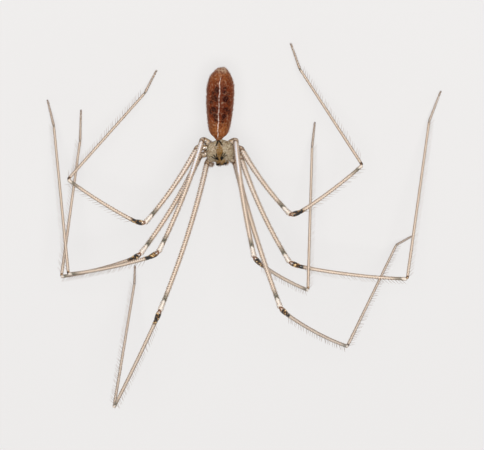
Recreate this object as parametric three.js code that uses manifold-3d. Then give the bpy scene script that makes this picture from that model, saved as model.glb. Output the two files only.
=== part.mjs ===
// A long-bodied cellar spider, an adult female, life size, standing still on a floor.
// Millimetres, +Z up. The head faces -Y, so the animal's left side is at +X.
// Every leg is a chain of straight or gently bowed segments, each one closed solid.
// Segments meet at mitred faces with a thin gap, and the feet end in flats at Z = 0.

import * as THREE from 'three';
import { mergeVertices } from 'three/addons/utils/BufferGeometryUtils.js';
import Module from 'manifold-3d';

const wasm = await Module();
wasm.setup();

// Driving dimensions
const GAP = 0.3;                 // clear space between two neighbouring pieces
const BODY_HEIGHT = 8.5;         // centre of the prosoma above the floor
const BODY_PITCH = 18;           // degrees, head up
const HEAD = { turn: 8, aside: 0.06 };  // degrees to the animal's left, and mm to its left

const CARAPACE = { width: 2.16, length: 1.9, dome: 0.62, belly: 0.5 };
// The furrow runs between two shares of the carapace's length, and is shallower in front.
const FURROW = { depth: 0.16, width: 0.2, from: -0.25, to: 0.33, frontShare: 0.35 };
const PEDICEL = { radius: 0.3, length: 0.5 };
const COXA = { rootRadius: 0.29, endRadius: 0.26, below: 0.35, sunk: 0.6, clear: 0.22 };

const OCULAR_HUMP = { width: 0.86, length: 0.62, height: 0.5, forward: 0.79, above: 0.22 };
const CLYPEUS = { width: 0.95, height: 0.72, depth: 0.42, forward: 0.82, below: 0.14 };
// Each triad of side eyes starts from its own angle, in degrees.
const SIDE_EYE = {
  radius: 0.09, spread: 0.09, outward: 0.3, forward: 0.95, above: 0.42, turn: { left: 90, right: 30 },
};
const FRONT_EYE = { radius: 0.06, outward: 0.085, forward: 1.07, above: 0.33 };

// The outline is a list of [share of the length, share of the radius].
const ABDOMEN = {
  length: 5.66,
  radius: 1.07,
  back: 1.22,
  aside: -0.06,
  yaw: 2,
  drop: 0.05,
  arch: 0.14,
  tipAside: 0.3,
  tipFrom: 0.8,
  outline: [
    [0, 0.44], [0.05, 0.66], [0.14, 0.79], [0.28, 0.885], [0.43, 0.965],
    [0.58, 1], [0.72, 0.985], [0.85, 0.84], [0.95, 0.54],
  ],
  outlineSteps: 26,
};
// The four cones stand at [across, along] times their spread.
const SPINNERET = {
  radius: 0.15,
  tipRadius: 0.06,
  length: 0.55,
  back: 0.2,
  spread: 0.15,
  along: 4.8,
  below: 0.95,
  places: [[-1, -0.5], [1, -0.5], [-1, 1], [1, 1]],
};
const SPINNERET_MOUND = { width: 0.8, height: 0.9 };

const CHELICERA = {
  width: 0.44, length: 0.95, outward: 0.31, forward: 1.2, below: 0.56, lean: 28, taper: 0.35,
};
// The palp's bends are [outward, forward, up] from its root.
const PALP = {
  rootRadius: 0.2,
  tipRadius: 0.1,
  outward: 0.94,
  forward: 1.08,
  below: 0.92,
  bends: [[0, 0, 0], [0.06, 0.34, -0.02], [0.0, 0.56, -0.32], [-0.14, 0.52, -0.74]],
  beads: 5,
  overlap: 0.12,
};

const LEG_RADIUS = {
  femurRoot: 0.26, femur: 0.25, femurTip: 0.28, patella: 0.28, slender: 0.25, tip: 0.12,
};
const LEG_TAPER = { rootEnds: 0.3, tipStarts: 0.85 };  // shares of a segment's length
const BOW = { femur: 0.03, tibia: 0.02 };  // height of the bow, as a share of the segment's length
const PATELLA_TURN = 0.35;       // share of the femur's direction that the patella still has
const RING_MARGIN = 0.06;        // room kept between a mitred end and the next ring
const TINY = 1e-6;

const SIDES = { leg: 10, coxa: 14, eye: 10, small: 16, body: 40 };
const RINGS = { femur: 12, patella: 2, tibia: 8, metatarsus: 10, tarsus: 5 };

const PATELLA_LENGTH = { 1: 0.9, 2: 0.9, 3: 0.8, 4: 0.9 };

// Each leg from its hip. A hip is [to the left, forward] of the prosoma's centre.
// A segment is [length, heading, rise]: heading in degrees from +X towards +Y, rise above level.
// A tarsus is [length, heading], and comes down to the floor from wherever its leg ends.
// A femur's bow may be turned about the femur by bowTurn degrees.
const LEGS = {
  leg_1_left: {
    pair: 1, hip: [1.2, 1.05], femur: [15.0, -39, 73], tibia: [10.9, -58.5, -30],
    metatarsus: [16.2, -27.5, -71.5], tarsus: [2.4, -24],
  },
  leg_1_right: {
    pair: 1, hip: [-0.95, 1.05], femur: [13.9, -128.5, 65.5], tibia: [11.4, -108, -9.5],
    metatarsus: [17.1, -53, -83], tarsus: [2.4, 95.5], bowTurn: -34,
  },
  leg_2_left: {
    pair: 2, hip: [1.6, 0.48], femur: [9.7, -64.5, 19.5], tibia: [8.7, -10, -1.5],
    metatarsus: [13.1, 76.5, -51], tarsus: [2.6, 67],
  },
  leg_2_right: {
    pair: 2, hip: [-1.5, 0.52], femur: [9.6, -140.5, 51.5], tibia: [8.5, -139, -26.5],
    metatarsus: [12.2, 76, -64.5], tarsus: [2.6, 87.5], bowTurn: -27,
  },
  leg_3_left: {
    pair: 3, hip: [1.65, -0.12], femur: [7.3, -27.6, 53.6], tibia: [6.5, 16.5, -38],
    metatarsus: [10.0, 145.5, -54.5], tarsus: [2.2, 118],
  },
  leg_3_right: {
    pair: 3, hip: [-1.68, -0.2], femur: [7.4, -137.6, 41], tibia: [6.5, 165, -32],
    metatarsus: [10.0, 25, -49], tarsus: [2.2, 46.5],
  },
  leg_4_left: {
    pair: 4, hip: [1.25, -0.84], femur: [10.9, -68.2, 69.8], tibia: [7.7, -56, -27.5],
    metatarsus: [13.1, 84, -68.5], tarsus: [2.4, 70.5],
  },
  leg_4_right: {
    pair: 4, hip: [-1.3, -0.87], femur: [10.6, -131.5, 61.3], tibia: [8.2, -147, -21],
    metatarsus: [13.3, 105, -65.5], tarsus: [2.4, 119.5],
  },
};

// Finishes
const finish = (color, roughness) => new THREE.MeshStandardMaterial({ color, roughness, metalness: 0 });
const MATERIALS = {
  carapace: finish(0xa59a80, 0.5),
  abdomen: finish(0x8c6450, 0.55),
  amber: finish(0xa97c4e, 0.4),
  femur: finish(0xcdb4a2, 0.35),
  patella: finish(0x3a3424, 0.4),
  shin: finish(0xc3ac92, 0.45),
  foot: finish(0x9a8775, 0.55),
};

const spider = new THREE.Group();
const body = new THREE.Group();
body.position.set(0, 0, BODY_HEIGHT);
body.rotation.x = -THREE.MathUtils.degToRad(BODY_PITCH);
body.updateMatrixWorld();
spider.add(body);

/** Adds a named mesh to a group. */
function addNode(parent, name, geometry, material) {
  const mesh = new THREE.Mesh(geometry, material);
  mesh.name = name;
  parent.add(mesh);
  return mesh;
}

/** Keeps only the positions of a geometry, with its shared vertices merged. */
function weld(geometry) {
  const plain = geometry.clone();
  plain.deleteAttribute('normal');
  plain.deleteAttribute('uv');
  return mergeVertices(plain, 1e-4);
}

/** Turns a closed geometry into a solid that can be joined and cut. */
function toSolid(geometry) {
  const plain = weld(geometry);
  const vertProperties = Float32Array.from(plain.attributes.position.array);
  const triVerts = Uint32Array.from(plain.index.array);
  return new wasm.Manifold(new wasm.Mesh({ numProp: 3, vertProperties, triVerts }));
}

/** Joins closed geometries into one, cut clear of others, keeping its largest body. */
function fuse(geometries, cutters = []) {
  const joined = geometries.map(toSolid).reduce((sum, piece) => sum.add(piece));
  const whole = cutters.map(toSolid).reduce((sum, piece) => sum.subtract(piece), joined);
  const largest = whole.decompose().sort((a, b) => b.volume() - a.volume())[0];
  const mesh = largest.getMesh();
  const geometry = new THREE.BufferGeometry();
  geometry.setAttribute('position', new THREE.BufferAttribute(Float32Array.from(mesh.vertProperties), 3));
  geometry.setIndex(new THREE.BufferAttribute(Uint32Array.from(mesh.triVerts), 1));
  return geometry;
}

/** Moves every vertex of a geometry by a function that changes a vector in place. */
function reshape(geometry, change) {
  const position = geometry.attributes.position;
  const point = new THREE.Vector3();
  for (let i = 0; i < position.count; i += 1) {
    point.fromBufferAttribute(position, i);
    change(point);
    position.setXYZ(i, point.x, point.y, point.z);
  }
  return geometry;
}

/** A point given as [left, forward, above] in the body's own frame. */
function bodyPoint(left, forward, above) {
  return new THREE.Vector3(left, -forward, above);
}

/** Turns a piece of the head, and sets it aside, as the photographed animal holds its head. */
function turnHead(geometry) {
  return geometry.rotateZ(THREE.MathUtils.degToRad(HEAD.turn)).translate(HEAD.aside, 0, 0);
}

/** A parabola that is 0 at shares 0 and 1, and 1 half way. */
function parabola(share) {
  return 4 * share * (1 - share);
}

/** The direction square to a segment that its neighbour folds towards. */
function foldOf(way, neighbour) {
  return neighbour.clone().addScaledVector(way, -neighbour.dot(way)).normalize();
}

/** Unit vector from a heading and a rise in degrees. */
function direction(heading, rise) {
  const turn = THREE.MathUtils.degToRad(heading);
  const lift = THREE.MathUtils.degToRad(rise);
  return new THREE.Vector3(
    Math.cos(turn) * Math.cos(lift), Math.sin(turn) * Math.cos(lift), Math.sin(lift),
  );
}

/** An ellipsoid of given full sizes around a centre. */
function ellipsoid(center, width, length, height, sides) {
  const geometry = new THREE.SphereGeometry(0.5, sides, Math.round(sides / 2));
  geometry.rotateX(Math.PI / 2);
  geometry.scale(width, length, height);
  geometry.translate(center.x, center.y, center.z);
  return geometry;
}

/** A round tapered rod between two points, turned from its profile. */
function rod(from, to, fromRadius, toRadius, sides) {
  const axis = to.clone().sub(from);
  const length = axis.length();
  const profile = [
    new THREE.Vector2(0, 0), new THREE.Vector2(fromRadius, 0),
    new THREE.Vector2(toRadius, length), new THREE.Vector2(0, length),
  ];
  const geometry = new THREE.LatheGeometry(profile, sides);
  geometry.applyQuaternion(new THREE.Quaternion().setFromUnitVectors(
    new THREE.Vector3(0, 1, 0), axis.normalize(),
  ));
  return geometry.translate(from.x, from.y, from.z);
}

/**
 * One limb segment between two joints: a turned profile that is bowed and then mitred.
 * Each end face lies on a plane, so that it meets its neighbour face to face.
 */
function segment({ from, to, radiusAt, rings, startPlane, endPlane, bow = 0, bowTowards = null }) {
  const axis = to.clone().sub(from);
  const length = axis.length();
  axis.normalize();
  const room = (plane, radius) => {
    const lean = Math.min(Math.abs(plane.normal.dot(axis)), 1);
    return radius * Math.sqrt(1 / (lean * lean) - 1) + GAP / 2 + RING_MARGIN;
  };
  const first = room(startPlane, radiusAt(0));
  const last = length - room(endPlane, radiusAt(1));
  const profile = [new THREE.Vector2(0, 0), new THREE.Vector2(radiusAt(0), 0)];
  for (let i = 0; i < rings; i += 1) {
    const along = first + (last - first) * (i / (rings - 1));
    profile.push(new THREE.Vector2(radiusAt(along / length), along));
  }
  profile.push(new THREE.Vector2(radiusAt(1), length), new THREE.Vector2(0, length));
  const geometry = new THREE.LatheGeometry(profile, SIDES.leg);
  const turn = new THREE.Quaternion().setFromUnitVectors(new THREE.Vector3(0, 1, 0), axis);
  return reshape(geometry, (point) => {
    const along = point.y;
    const share = along / length;
    point.applyQuaternion(turn).add(from);
    if (bowTowards) {
      point.addScaledVector(bowTowards, bow * length * parabola(share));
    }
    const plane = along < TINY ? startPlane : endPlane;
    if (along < TINY || along > length - TINY) {
      point.addScaledVector(axis, -plane.distanceToPoint(point) / plane.normal.dot(axis));
    }
  });
}

/** The two planes, half a gap each side of a joint, that halve the bend between two directions. */
function mitre(joint, before, after) {
  const normal = before.clone().add(after).normalize();
  const plane = new THREE.Plane().setFromNormalAndCoplanarPoint(normal, joint);
  const shifted = (offset) => new THREE.Plane(normal.clone(), plane.constant - offset);
  return { end: shifted(-GAP / 2), start: shifted(GAP / 2) };
}

// Prosoma: carapace, eye hump, face, pedicel and the eight coxae in one piece
function carapace() {
  const { width, length, dome, belly } = CARAPACE;
  const shell = ellipsoid(new THREE.Vector3(), width, length, 2, SIDES.body);
  return reshape(shell, (point) => {
    const above = point.z > 0;
    point.z *= above ? dome : belly;
    if (above) {
      const across = point.x / FURROW.width;
      const backward = THREE.MathUtils.smoothstep(point.y, FURROW.from * length, FURROW.to * length);
      const share = THREE.MathUtils.lerp(FURROW.frontShare, 1, backward);
      point.z -= FURROW.depth * Math.exp(-across * across) * share * (point.z / dome);
    }
  });
}

function hipOf(leg) {
  return bodyPoint(leg.hip[0], leg.hip[1], -COXA.below);
}

/** Where a coxa points, level in the body's frame and outward from its centre. */
function coxaAxis(leg) {
  const outward = bodyPoint(leg.hip[0], leg.hip[1], 0);
  return outward.normalize();
}

function coxaRods() {
  return Object.values(LEGS).map((leg) => {
    const hip = hipOf(leg);
    const root = hip.clone().multiplyScalar(1 - COXA.sunk);
    root.z = hip.z;
    const end = hip.clone().addScaledVector(coxaAxis(leg), -COXA.clear);
    return rod(root, end, COXA.rootRadius, COXA.endRadius, SIDES.coxa);
  });
}

function eyeDomes() {
  const domes = [];
  for (const [side, first] of [[-1, SIDE_EYE.turn.right], [1, SIDE_EYE.turn.left]]) {
    for (let i = 0; i < 3; i += 1) {
      const turn = (i / 3) * 2 * Math.PI + THREE.MathUtils.degToRad(first);
      const center = bodyPoint(
        side * (SIDE_EYE.outward + SIDE_EYE.spread * Math.cos(turn)),
        SIDE_EYE.forward,
        SIDE_EYE.above + SIDE_EYE.spread * Math.sin(turn),
      );
      const size = 2 * SIDE_EYE.radius;
      domes.push(ellipsoid(center, size, size, size, SIDES.eye));
    }
    const front = bodyPoint(side * FRONT_EYE.outward, FRONT_EYE.forward, FRONT_EYE.above);
    const size = 2 * FRONT_EYE.radius;
    domes.push(ellipsoid(front, size, size, size, SIDES.eye));
  }
  return domes;
}

function prosoma() {
  const humpCenter = bodyPoint(0, OCULAR_HUMP.forward, OCULAR_HUMP.above);
  const hump = ellipsoid(
    humpCenter, OCULAR_HUMP.width, OCULAR_HUMP.length, OCULAR_HUMP.height, SIDES.small,
  );
  const faceCenter = bodyPoint(0, CLYPEUS.forward, -CLYPEUS.below);
  const face = ellipsoid(faceCenter, CLYPEUS.width, CLYPEUS.depth, CLYPEUS.height, SIDES.small);
  const rear = CARAPACE.length / 2;
  const stalk = rod(
    bodyPoint(0, -rear + PEDICEL.length, 0), bodyPoint(ABDOMEN.aside, -ABDOMEN.back + GAP, 0),
    PEDICEL.radius, PEDICEL.radius, SIDES.small,
  );
  const head = [carapace(), hump, face, ...eyeDomes()].map(turnHead);
  return fuse([...head, ...coxaRods(), stalk]);
}

// Abdomen: a long bean, narrow at the pedicel, with its tip a little to the left
function abdomen(grown = 0) {
  const { length, radius, arch, tipAside, tipFrom } = ABDOMEN;
  const end = new THREE.Vector2(0, length + grown);
  const side = new THREE.SplineCurve([
    ...ABDOMEN.outline.map(([along, wide]) => new THREE.Vector2(radius * wide + grown, length * along)),
    end,
  ]);
  const outline = side.getPoints(ABDOMEN.outlineSteps).slice(0, -1);
  const geometry = new THREE.LatheGeometry([new THREE.Vector2(0, 0), ...outline, end], SIDES.body);
  return reshape(geometry, (point) => {
    const share = point.y / length;
    const beyond = Math.max(share - tipFrom, 0) / (1 - tipFrom);
    point.z += arch * Math.sin(Math.PI * share);
    point.x += tipAside * beyond * beyond;
  });
}

/** Spinnerets on a low mound under the abdomen's end, in the abdomen's own frame. */
function spinnerets() {
  const center = new THREE.Vector3(0, SPINNERET.along, -SPINNERET.below);
  const { width, height } = SPINNERET_MOUND;
  const mound = ellipsoid(center, width, width, height, SIDES.small);
  const cones = [];
  for (const [across, along] of SPINNERET.places) {
    const root = center.clone();
    root.x += across * SPINNERET.spread;
    root.y += along * SPINNERET.spread;
    const tip = root.clone().add(new THREE.Vector3(0, SPINNERET.back, -SPINNERET.length));
    cones.push(rod(root, tip, SPINNERET.radius, SPINNERET.tipRadius, SIDES.eye));
  }
  return fuse([mound, ...cones], [abdomen(GAP)]);
}

// Mouthparts
function chelicera(side) {
  const { width, length, lean, taper } = CHELICERA;
  const geometry = ellipsoid(new THREE.Vector3(0, 0, -length / 2), width, width, length, SIDES.small);
  reshape(geometry, (point) => {
    const down = -point.z / length;
    point.x *= 1 - taper * down;
    point.y *= 1 - taper * down;
  });
  geometry.rotateX(-THREE.MathUtils.degToRad(lean));
  const root = bodyPoint(side * CHELICERA.outward, CHELICERA.forward, -CHELICERA.below);
  return turnHead(geometry.translate(root.x, root.y, root.z));
}

function palp(side) {
  const { rootRadius, tipRadius, outward, forward, below, beads } = PALP;
  const curve = new THREE.CatmullRomCurve3(PALP.bends.map(([out, front, up]) => bodyPoint(
    side * (outward + out), forward + front, up - below,
  )));
  const pieces = [];
  for (let i = 0; i < beads; i += 1) {
    const start = curve.getPointAt(i / beads);
    const end = curve.getPointAt((i + 1) / beads);
    const reach = end.clone().sub(start).multiplyScalar(PALP.overlap);
    const share = i / beads;
    const startRadius = THREE.MathUtils.lerp(rootRadius, tipRadius, share);
    const endRadius = THREE.MathUtils.lerp(rootRadius, tipRadius, share + 1 / beads);
    pieces.push(rod(start, end.add(reach), startRadius, endRadius, SIDES.eye));
  }
  return turnHead(fuse(pieces));
}

// Legs
function radiusProfile(root, middle, tip) {
  return (share) => {
    const toMiddle = THREE.MathUtils.smoothstep(share, 0, LEG_TAPER.rootEnds);
    const toTip = THREE.MathUtils.smoothstep(share, LEG_TAPER.tipStarts, 1);
    return root + (middle - root) * toMiddle + (tip - middle) * toTip;
  };
}

/** The five segments of one leg, from its hip to the flat under its foot. */
function addLeg(name, leg) {
  const { femurRoot, femur, femurTip, patella, slender, tip } = LEG_RADIUS;
  const [femurLength, ...femurAngles] = leg.femur;
  const [tibiaLength, ...tibiaAngles] = leg.tibia;
  const [metatarsusLength, ...metatarsusAngles] = leg.metatarsus;
  const [tarsusLength, tarsusHeading] = leg.tarsus;

  const hip = hipOf(leg).applyMatrix4(body.matrixWorld);
  const coxaWay = coxaAxis(leg).transformDirection(body.matrixWorld);
  const femurWay = direction(...femurAngles);
  const tibiaWay = direction(...tibiaAngles);
  const patellaWay = femurWay.clone().multiplyScalar(PATELLA_TURN).add(tibiaWay).normalize();
  const metatarsusWay = direction(...metatarsusAngles);

  const knee = hip.clone().addScaledVector(femurWay, femurLength);
  const shin = knee.clone().addScaledVector(patellaWay, PATELLA_LENGTH[leg.pair]);
  const ankle = shin.clone().addScaledVector(tibiaWay, tibiaLength);
  const heel = ankle.clone().addScaledVector(metatarsusWay, metatarsusLength);
  const tarsusRise = -THREE.MathUtils.radToDeg(Math.asin(Math.min(heel.z / tarsusLength, 1)));
  const tarsusWay = direction(tarsusHeading, tarsusRise);
  const foot = heel.clone().addScaledVector(tarsusWay, tarsusLength);

  const atHip = mitre(hip, coxaWay, femurWay);
  const atKnee = mitre(knee, femurWay, patellaWay);
  const atShin = mitre(shin, patellaWay, tibiaWay);
  const atAnkle = mitre(ankle, tibiaWay, metatarsusWay);
  const atHeel = mitre(heel, metatarsusWay, tarsusWay);
  const floor = new THREE.Plane(new THREE.Vector3(0, 0, 1), 0);

  // Femur and tibia bow away from the side that the next segment folds to.
  const bowTurn = THREE.MathUtils.degToRad(leg.bowTurn ?? 0);
  const kneeFold = foldOf(femurWay, tibiaWay).applyAxisAngle(femurWay, bowTurn);
  const ankleFold = foldOf(tibiaWay, metatarsusWay);
  const parts = [
    ['femur', MATERIALS.femur, {
      from: hip, to: knee, rings: RINGS.femur, startPlane: atHip.start, endPlane: atKnee.end,
      radiusAt: radiusProfile(femurRoot, femur, femurTip), bow: -BOW.femur, bowTowards: kneeFold,
    }],
    ['patella', MATERIALS.patella, {
      from: knee, to: shin, rings: RINGS.patella, startPlane: atKnee.start, endPlane: atShin.end,
      radiusAt: () => patella,
    }],
    ['tibia', MATERIALS.shin, {
      from: shin, to: ankle, rings: RINGS.tibia, startPlane: atShin.start, endPlane: atAnkle.end,
      radiusAt: radiusProfile(patella, slender, slender), bow: -BOW.tibia, bowTowards: ankleFold,
    }],
    ['metatarsus', MATERIALS.shin, {
      from: ankle, to: heel, rings: RINGS.metatarsus, startPlane: atAnkle.start, endPlane: atHeel.end,
      radiusAt: () => slender,
    }],
    ['tarsus', MATERIALS.foot, {
      from: heel, to: foot, rings: RINGS.tarsus, startPlane: atHeel.start, endPlane: floor,
      radiusAt: (share) => THREE.MathUtils.lerp(slender, tip, share),
    }],
  ];
  for (const [part, material, shape] of parts) {
    addNode(spider, `${name}_${part}`, segment(shape), material);
  }
}

addNode(body, 'prosoma', prosoma(), MATERIALS.carapace);

const hind = new THREE.Group();
hind.position.copy(bodyPoint(ABDOMEN.aside, -ABDOMEN.back, -ABDOMEN.drop));
hind.rotation.z = -THREE.MathUtils.degToRad(ABDOMEN.yaw);
body.add(hind);
addNode(hind, 'abdomen', abdomen(), MATERIALS.abdomen);
addNode(hind, 'spinnerets', spinnerets(), MATERIALS.amber);

for (const [side, word] of [[1, 'left'], [-1, 'right']]) {
  addNode(body, `chelicera_${word}`, chelicera(side), MATERIALS.amber);
  addNode(body, `palp_${word}`, palp(side), MATERIALS.shin);
}

for (const [name, leg] of Object.entries(LEGS)) {
  addLeg(name, leg);
}

// The middle of the whole spread stands over the origin.
const bounds = new THREE.Box3().setFromObject(spider, true);
const middle = bounds.getCenter(new THREE.Vector3());
spider.position.set(-middle.x, -middle.y, 0);

export default spider;
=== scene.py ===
"""Looks of a long-bodied cellar spider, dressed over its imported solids.

Sizes are in millimetres until a mesh is made, which is in metres. The head faces -Y and the
animal's left side is at +X, as in the solids. A point given as [left, forward, above] is in
the prosoma's own frame, whose head end is raised.
"""
import logging
import math
from collections.abc import Callable, Sequence
from dataclasses import dataclass, field
from enum import Enum
from itertools import product
from typing import ClassVar

import bpy
import numpy as np
from mathutils import Matrix, Vector


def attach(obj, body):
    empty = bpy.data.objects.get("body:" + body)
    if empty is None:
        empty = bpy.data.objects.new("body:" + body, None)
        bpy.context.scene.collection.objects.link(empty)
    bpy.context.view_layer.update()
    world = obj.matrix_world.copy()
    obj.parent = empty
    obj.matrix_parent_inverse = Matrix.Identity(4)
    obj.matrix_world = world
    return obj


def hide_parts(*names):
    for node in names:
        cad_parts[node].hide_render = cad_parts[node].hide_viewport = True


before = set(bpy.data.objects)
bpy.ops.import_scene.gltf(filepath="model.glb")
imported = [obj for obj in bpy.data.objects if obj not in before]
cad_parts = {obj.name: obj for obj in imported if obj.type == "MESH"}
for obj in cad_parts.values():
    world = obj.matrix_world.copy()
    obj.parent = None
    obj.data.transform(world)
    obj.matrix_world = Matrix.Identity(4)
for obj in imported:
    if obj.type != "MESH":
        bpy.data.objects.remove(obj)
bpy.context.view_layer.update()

MM = 0.001
BODY = "root"
BAKE_MAP = "OFBake"
HAIR_PATCH = 0.003
LOG = logging.getLogger("cellar_spider")

Array = np.ndarray
Colour = tuple[int, int, int]
Knots = tuple[tuple[float, float], ...]
Place = tuple[float, float, float]


class Slot(Enum):
    """The record's material slots."""

    CARAPACE = "carapace"
    ABDOMEN = "abdomen"
    AMBER = "amber"
    FEMUR = "femur"
    PATELLA = "patella"
    SHIN = "shin"
    FOOT = "foot"


class Part(Enum):
    """The lengths of a leg's skin, from its coxa to its foot."""

    COXA = 0
    FEMUR = 1
    PATELLA = 2
    TIBIA = 3
    METATARSUS = 4
    TARSUS = 5

    @property
    def word(self) -> str:
        """The part's name, as the solids' nodes write it."""
        return self.name.lower()


class Side(Enum):
    """The animal's own two sides, with the sign of X on each."""

    LEFT = 1
    RIGHT = -1

    @property
    def word(self) -> str:
        """The side's name, as the solids' nodes write it."""
        return self.name.lower()


# Numbers and vectors

def smooth(value: Array, low: float, high: float) -> Array:
    """Rises smoothly with value, from 0 at low to 1 at high."""
    share = np.clip((value - low) / (high - low), 0.0, 1.0)
    return share * share * (3.0 - 2.0 * share)


def window(value: Array, start: float, end: float, soft: float) -> Array:
    """Is 1 where value lies between start and end, with edges as wide as soft around them."""
    half = soft / 2
    return smooth(value, start - half, start + half) * (1.0 - smooth(value, end - half, end + half))


def bell(distance: Array, width: float) -> Array:
    """Gives a bell of height 1 around distance 0, fallen to about a third at its width."""
    return np.exp(-((distance / width) ** 2))


def unit(vectors: Array) -> Array:
    """Scales vectors along the last axis to length 1."""
    size = np.linalg.norm(vectors, axis=-1, keepdims=True)
    return vectors / np.maximum(size, 1e-12)


def evened(values: Array, spill: float) -> Array:
    """Evens out values, each by a share of both its neighbours."""
    kernel = np.array([spill, 1 - 2 * spill, spill])
    return np.convolve(np.pad(values, 1, mode="edge"), kernel, mode="valid")


def spline(points: Sequence[Sequence[float]], count: int) -> Array:
    """Follows a uniform Catmull-Rom curve through points.

    Args:
        points: The points that the curve passes through.
        count: How many steps the whole curve takes.

    Returns:
        Points on the curve, count + 1 of them.
    """
    knots = np.array(points, float)
    padded = np.vstack([knots[:1], knots, knots[-1:]])
    place = np.linspace(0.0, len(knots) - 1.0, count + 1)
    start = np.minimum(place.astype(int), len(knots) - 2)
    share = (place - start)[:, None]
    before, here, after, beyond = (padded[start + shift] for shift in range(4))
    slope_in = (after - before) / 2
    slope_out = (beyond - here) / 2
    return (
        (2 * here - 2 * after + slope_in + slope_out) * share**3
        + (-3 * here + 3 * after - 2 * slope_in - slope_out) * share**2
        + slope_in * share
        + here
    )


@dataclass(frozen=True)
class OwnFrame:
    """A frame of its own inside the row frame, turned about X and then about its own Z."""

    centre: Place
    pitch: float
    yaw: float = 0.0

    def matrix(self) -> Array:
        """The turn from this frame's axes to the row frame's."""
        turn = Matrix.Rotation(-math.radians(self.pitch), 3, "X")
        return np.array(turn @ Matrix.Rotation(-math.radians(self.yaw), 3, "Z"))

    def out(self, points: Array) -> Array:
        """Takes points of this frame to the row frame's millimetres."""
        return np.asarray(points, float) @ self.matrix().T + np.array(self.centre)

    def turned(self, vectors: Array) -> Array:
        """Turns directions of this frame to the row frame."""
        return np.asarray(vectors, float) @ self.matrix().T

    def inside(self, points: Array) -> Array:
        """Takes points of the row frame into this frame."""
        return (np.asarray(points, float) - np.array(self.centre)) @ self.matrix()


# Angles are in degrees. The head is turned to the animal's left, its coxae aren't.
HEAD_UP = 18.0
PROSOMA_CENTRE = (-1.9783, 6.2729, 8.5)
PROSOMA_FRAME = OwnFrame(PROSOMA_CENTRE, HEAD_UP)
HEAD_TURN = 8.0
HEAD_ASIDE = 0.06
HEAD_CENTRE = tuple(PROSOMA_FRAME.out(np.array((HEAD_ASIDE, 0.0, 0.0))))
HEAD_FRAME = OwnFrame(HEAD_CENTRE, HEAD_UP, -HEAD_TURN)
ABDOMEN_YAW = 2.0
ABDOMEN_ROOT = (-0.06, 1.22, -0.05)
ABDOMEN_FRAME = OwnFrame(tuple(PROSOMA_FRAME.out(np.array(ABDOMEN_ROOT))), HEAD_UP, ABDOMEN_YAW)


def body_points(points: Array) -> Array:
    """Takes the body's [left, forward, above] points to the row frame's millimetres."""
    flipped = np.asarray(points, float) * np.array([1.0, -1.0, 1.0])
    return PROSOMA_FRAME.out(flipped)


def head_points(points: Array) -> Array:
    """Takes the turned head's [left, forward, above] points to the row frame's millimetres."""
    flipped = np.asarray(points, float) * np.array([1.0, -1.0, 1.0])
    return HEAD_FRAME.out(flipped)


def drawn_in(place: Array, share: float) -> Array:
    """Draws a place in to a share of its distance from the prosoma's upright axis."""
    return place * np.array([share, share, 1.0])


def seen_from_head(points: Array) -> Array:
    """Takes the body's [left, forward, above] points to the turned head's.

    Args:
        points: Points of the body.

    Returns:
        The same points, seen from the head.
    """
    turn = math.radians(HEAD_TURN)
    left = points[..., 0] - HEAD_ASIDE
    forward = points[..., 1]
    return np.stack([
        left * math.cos(turn) - forward * math.sin(turn),
        left * math.sin(turn) + forward * math.cos(turn),
        points[..., 2],
    ], axis=-1)


# Meshes

@dataclass
class Shape:
    """A mesh in millimetres before it becomes an object.

    quads and triangles hold vertex numbers, marks hold one number a vertex, and corners hold
    the bake map's place of each face corner, quads first.
    """

    points: Array
    quads: Array
    triangles: Array = field(default_factory=lambda: np.zeros((0, 3), int))
    marks: dict[str, Array] = field(default_factory=dict)
    corners: Array | None = None

    def normals(self) -> Array:
        """Gives each vertex the mean direction of its faces.

        Returns:
            One unit vector for each.
        """
        faces = self.all_triangles()
        a, b, c = (self.points[faces[:, i]] for i in range(3))
        across = np.cross(b - a, c - a)
        total = np.zeros_like(self.points)
        for i in range(3):
            np.add.at(total, faces[:, i], across)
        return unit(total)

    def all_triangles(self) -> Array:
        """Splits the quads and adds the triangles.

        Returns:
            The vertex numbers of every triangle.
        """
        first = self.quads[:, [0, 1, 2]]
        second = self.quads[:, [0, 2, 3]]
        return np.vstack([first, second, self.triangles])

    @staticmethod
    def joined(shapes: Sequence["Shape"]) -> "Shape":
        """Puts shapes that carry the same marks into one.

        Args:
            shapes: The shapes, all with or all without a bake map.

        Returns:
            One shape that holds them all.
        """
        starts = np.cumsum([0] + [len(s.points) for s in shapes])
        whole = Shape(
            np.vstack([s.points for s in shapes]),
            np.vstack([s.quads + start for s, start in zip(shapes, starts)]),
            np.vstack([s.triangles + start for s, start in zip(shapes, starts)]),
        )
        for name in shapes[0].marks:
            whole.marks[name] = np.concatenate([s.marks[name] for s in shapes])
        if shapes[0].corners is not None:
            four = [s.corners[: 4 * len(s.quads)] for s in shapes]
            three = [s.corners[4 * len(s.quads):] for s in shapes]
            whole.corners = np.vstack(four + three)
        return whole


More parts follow.
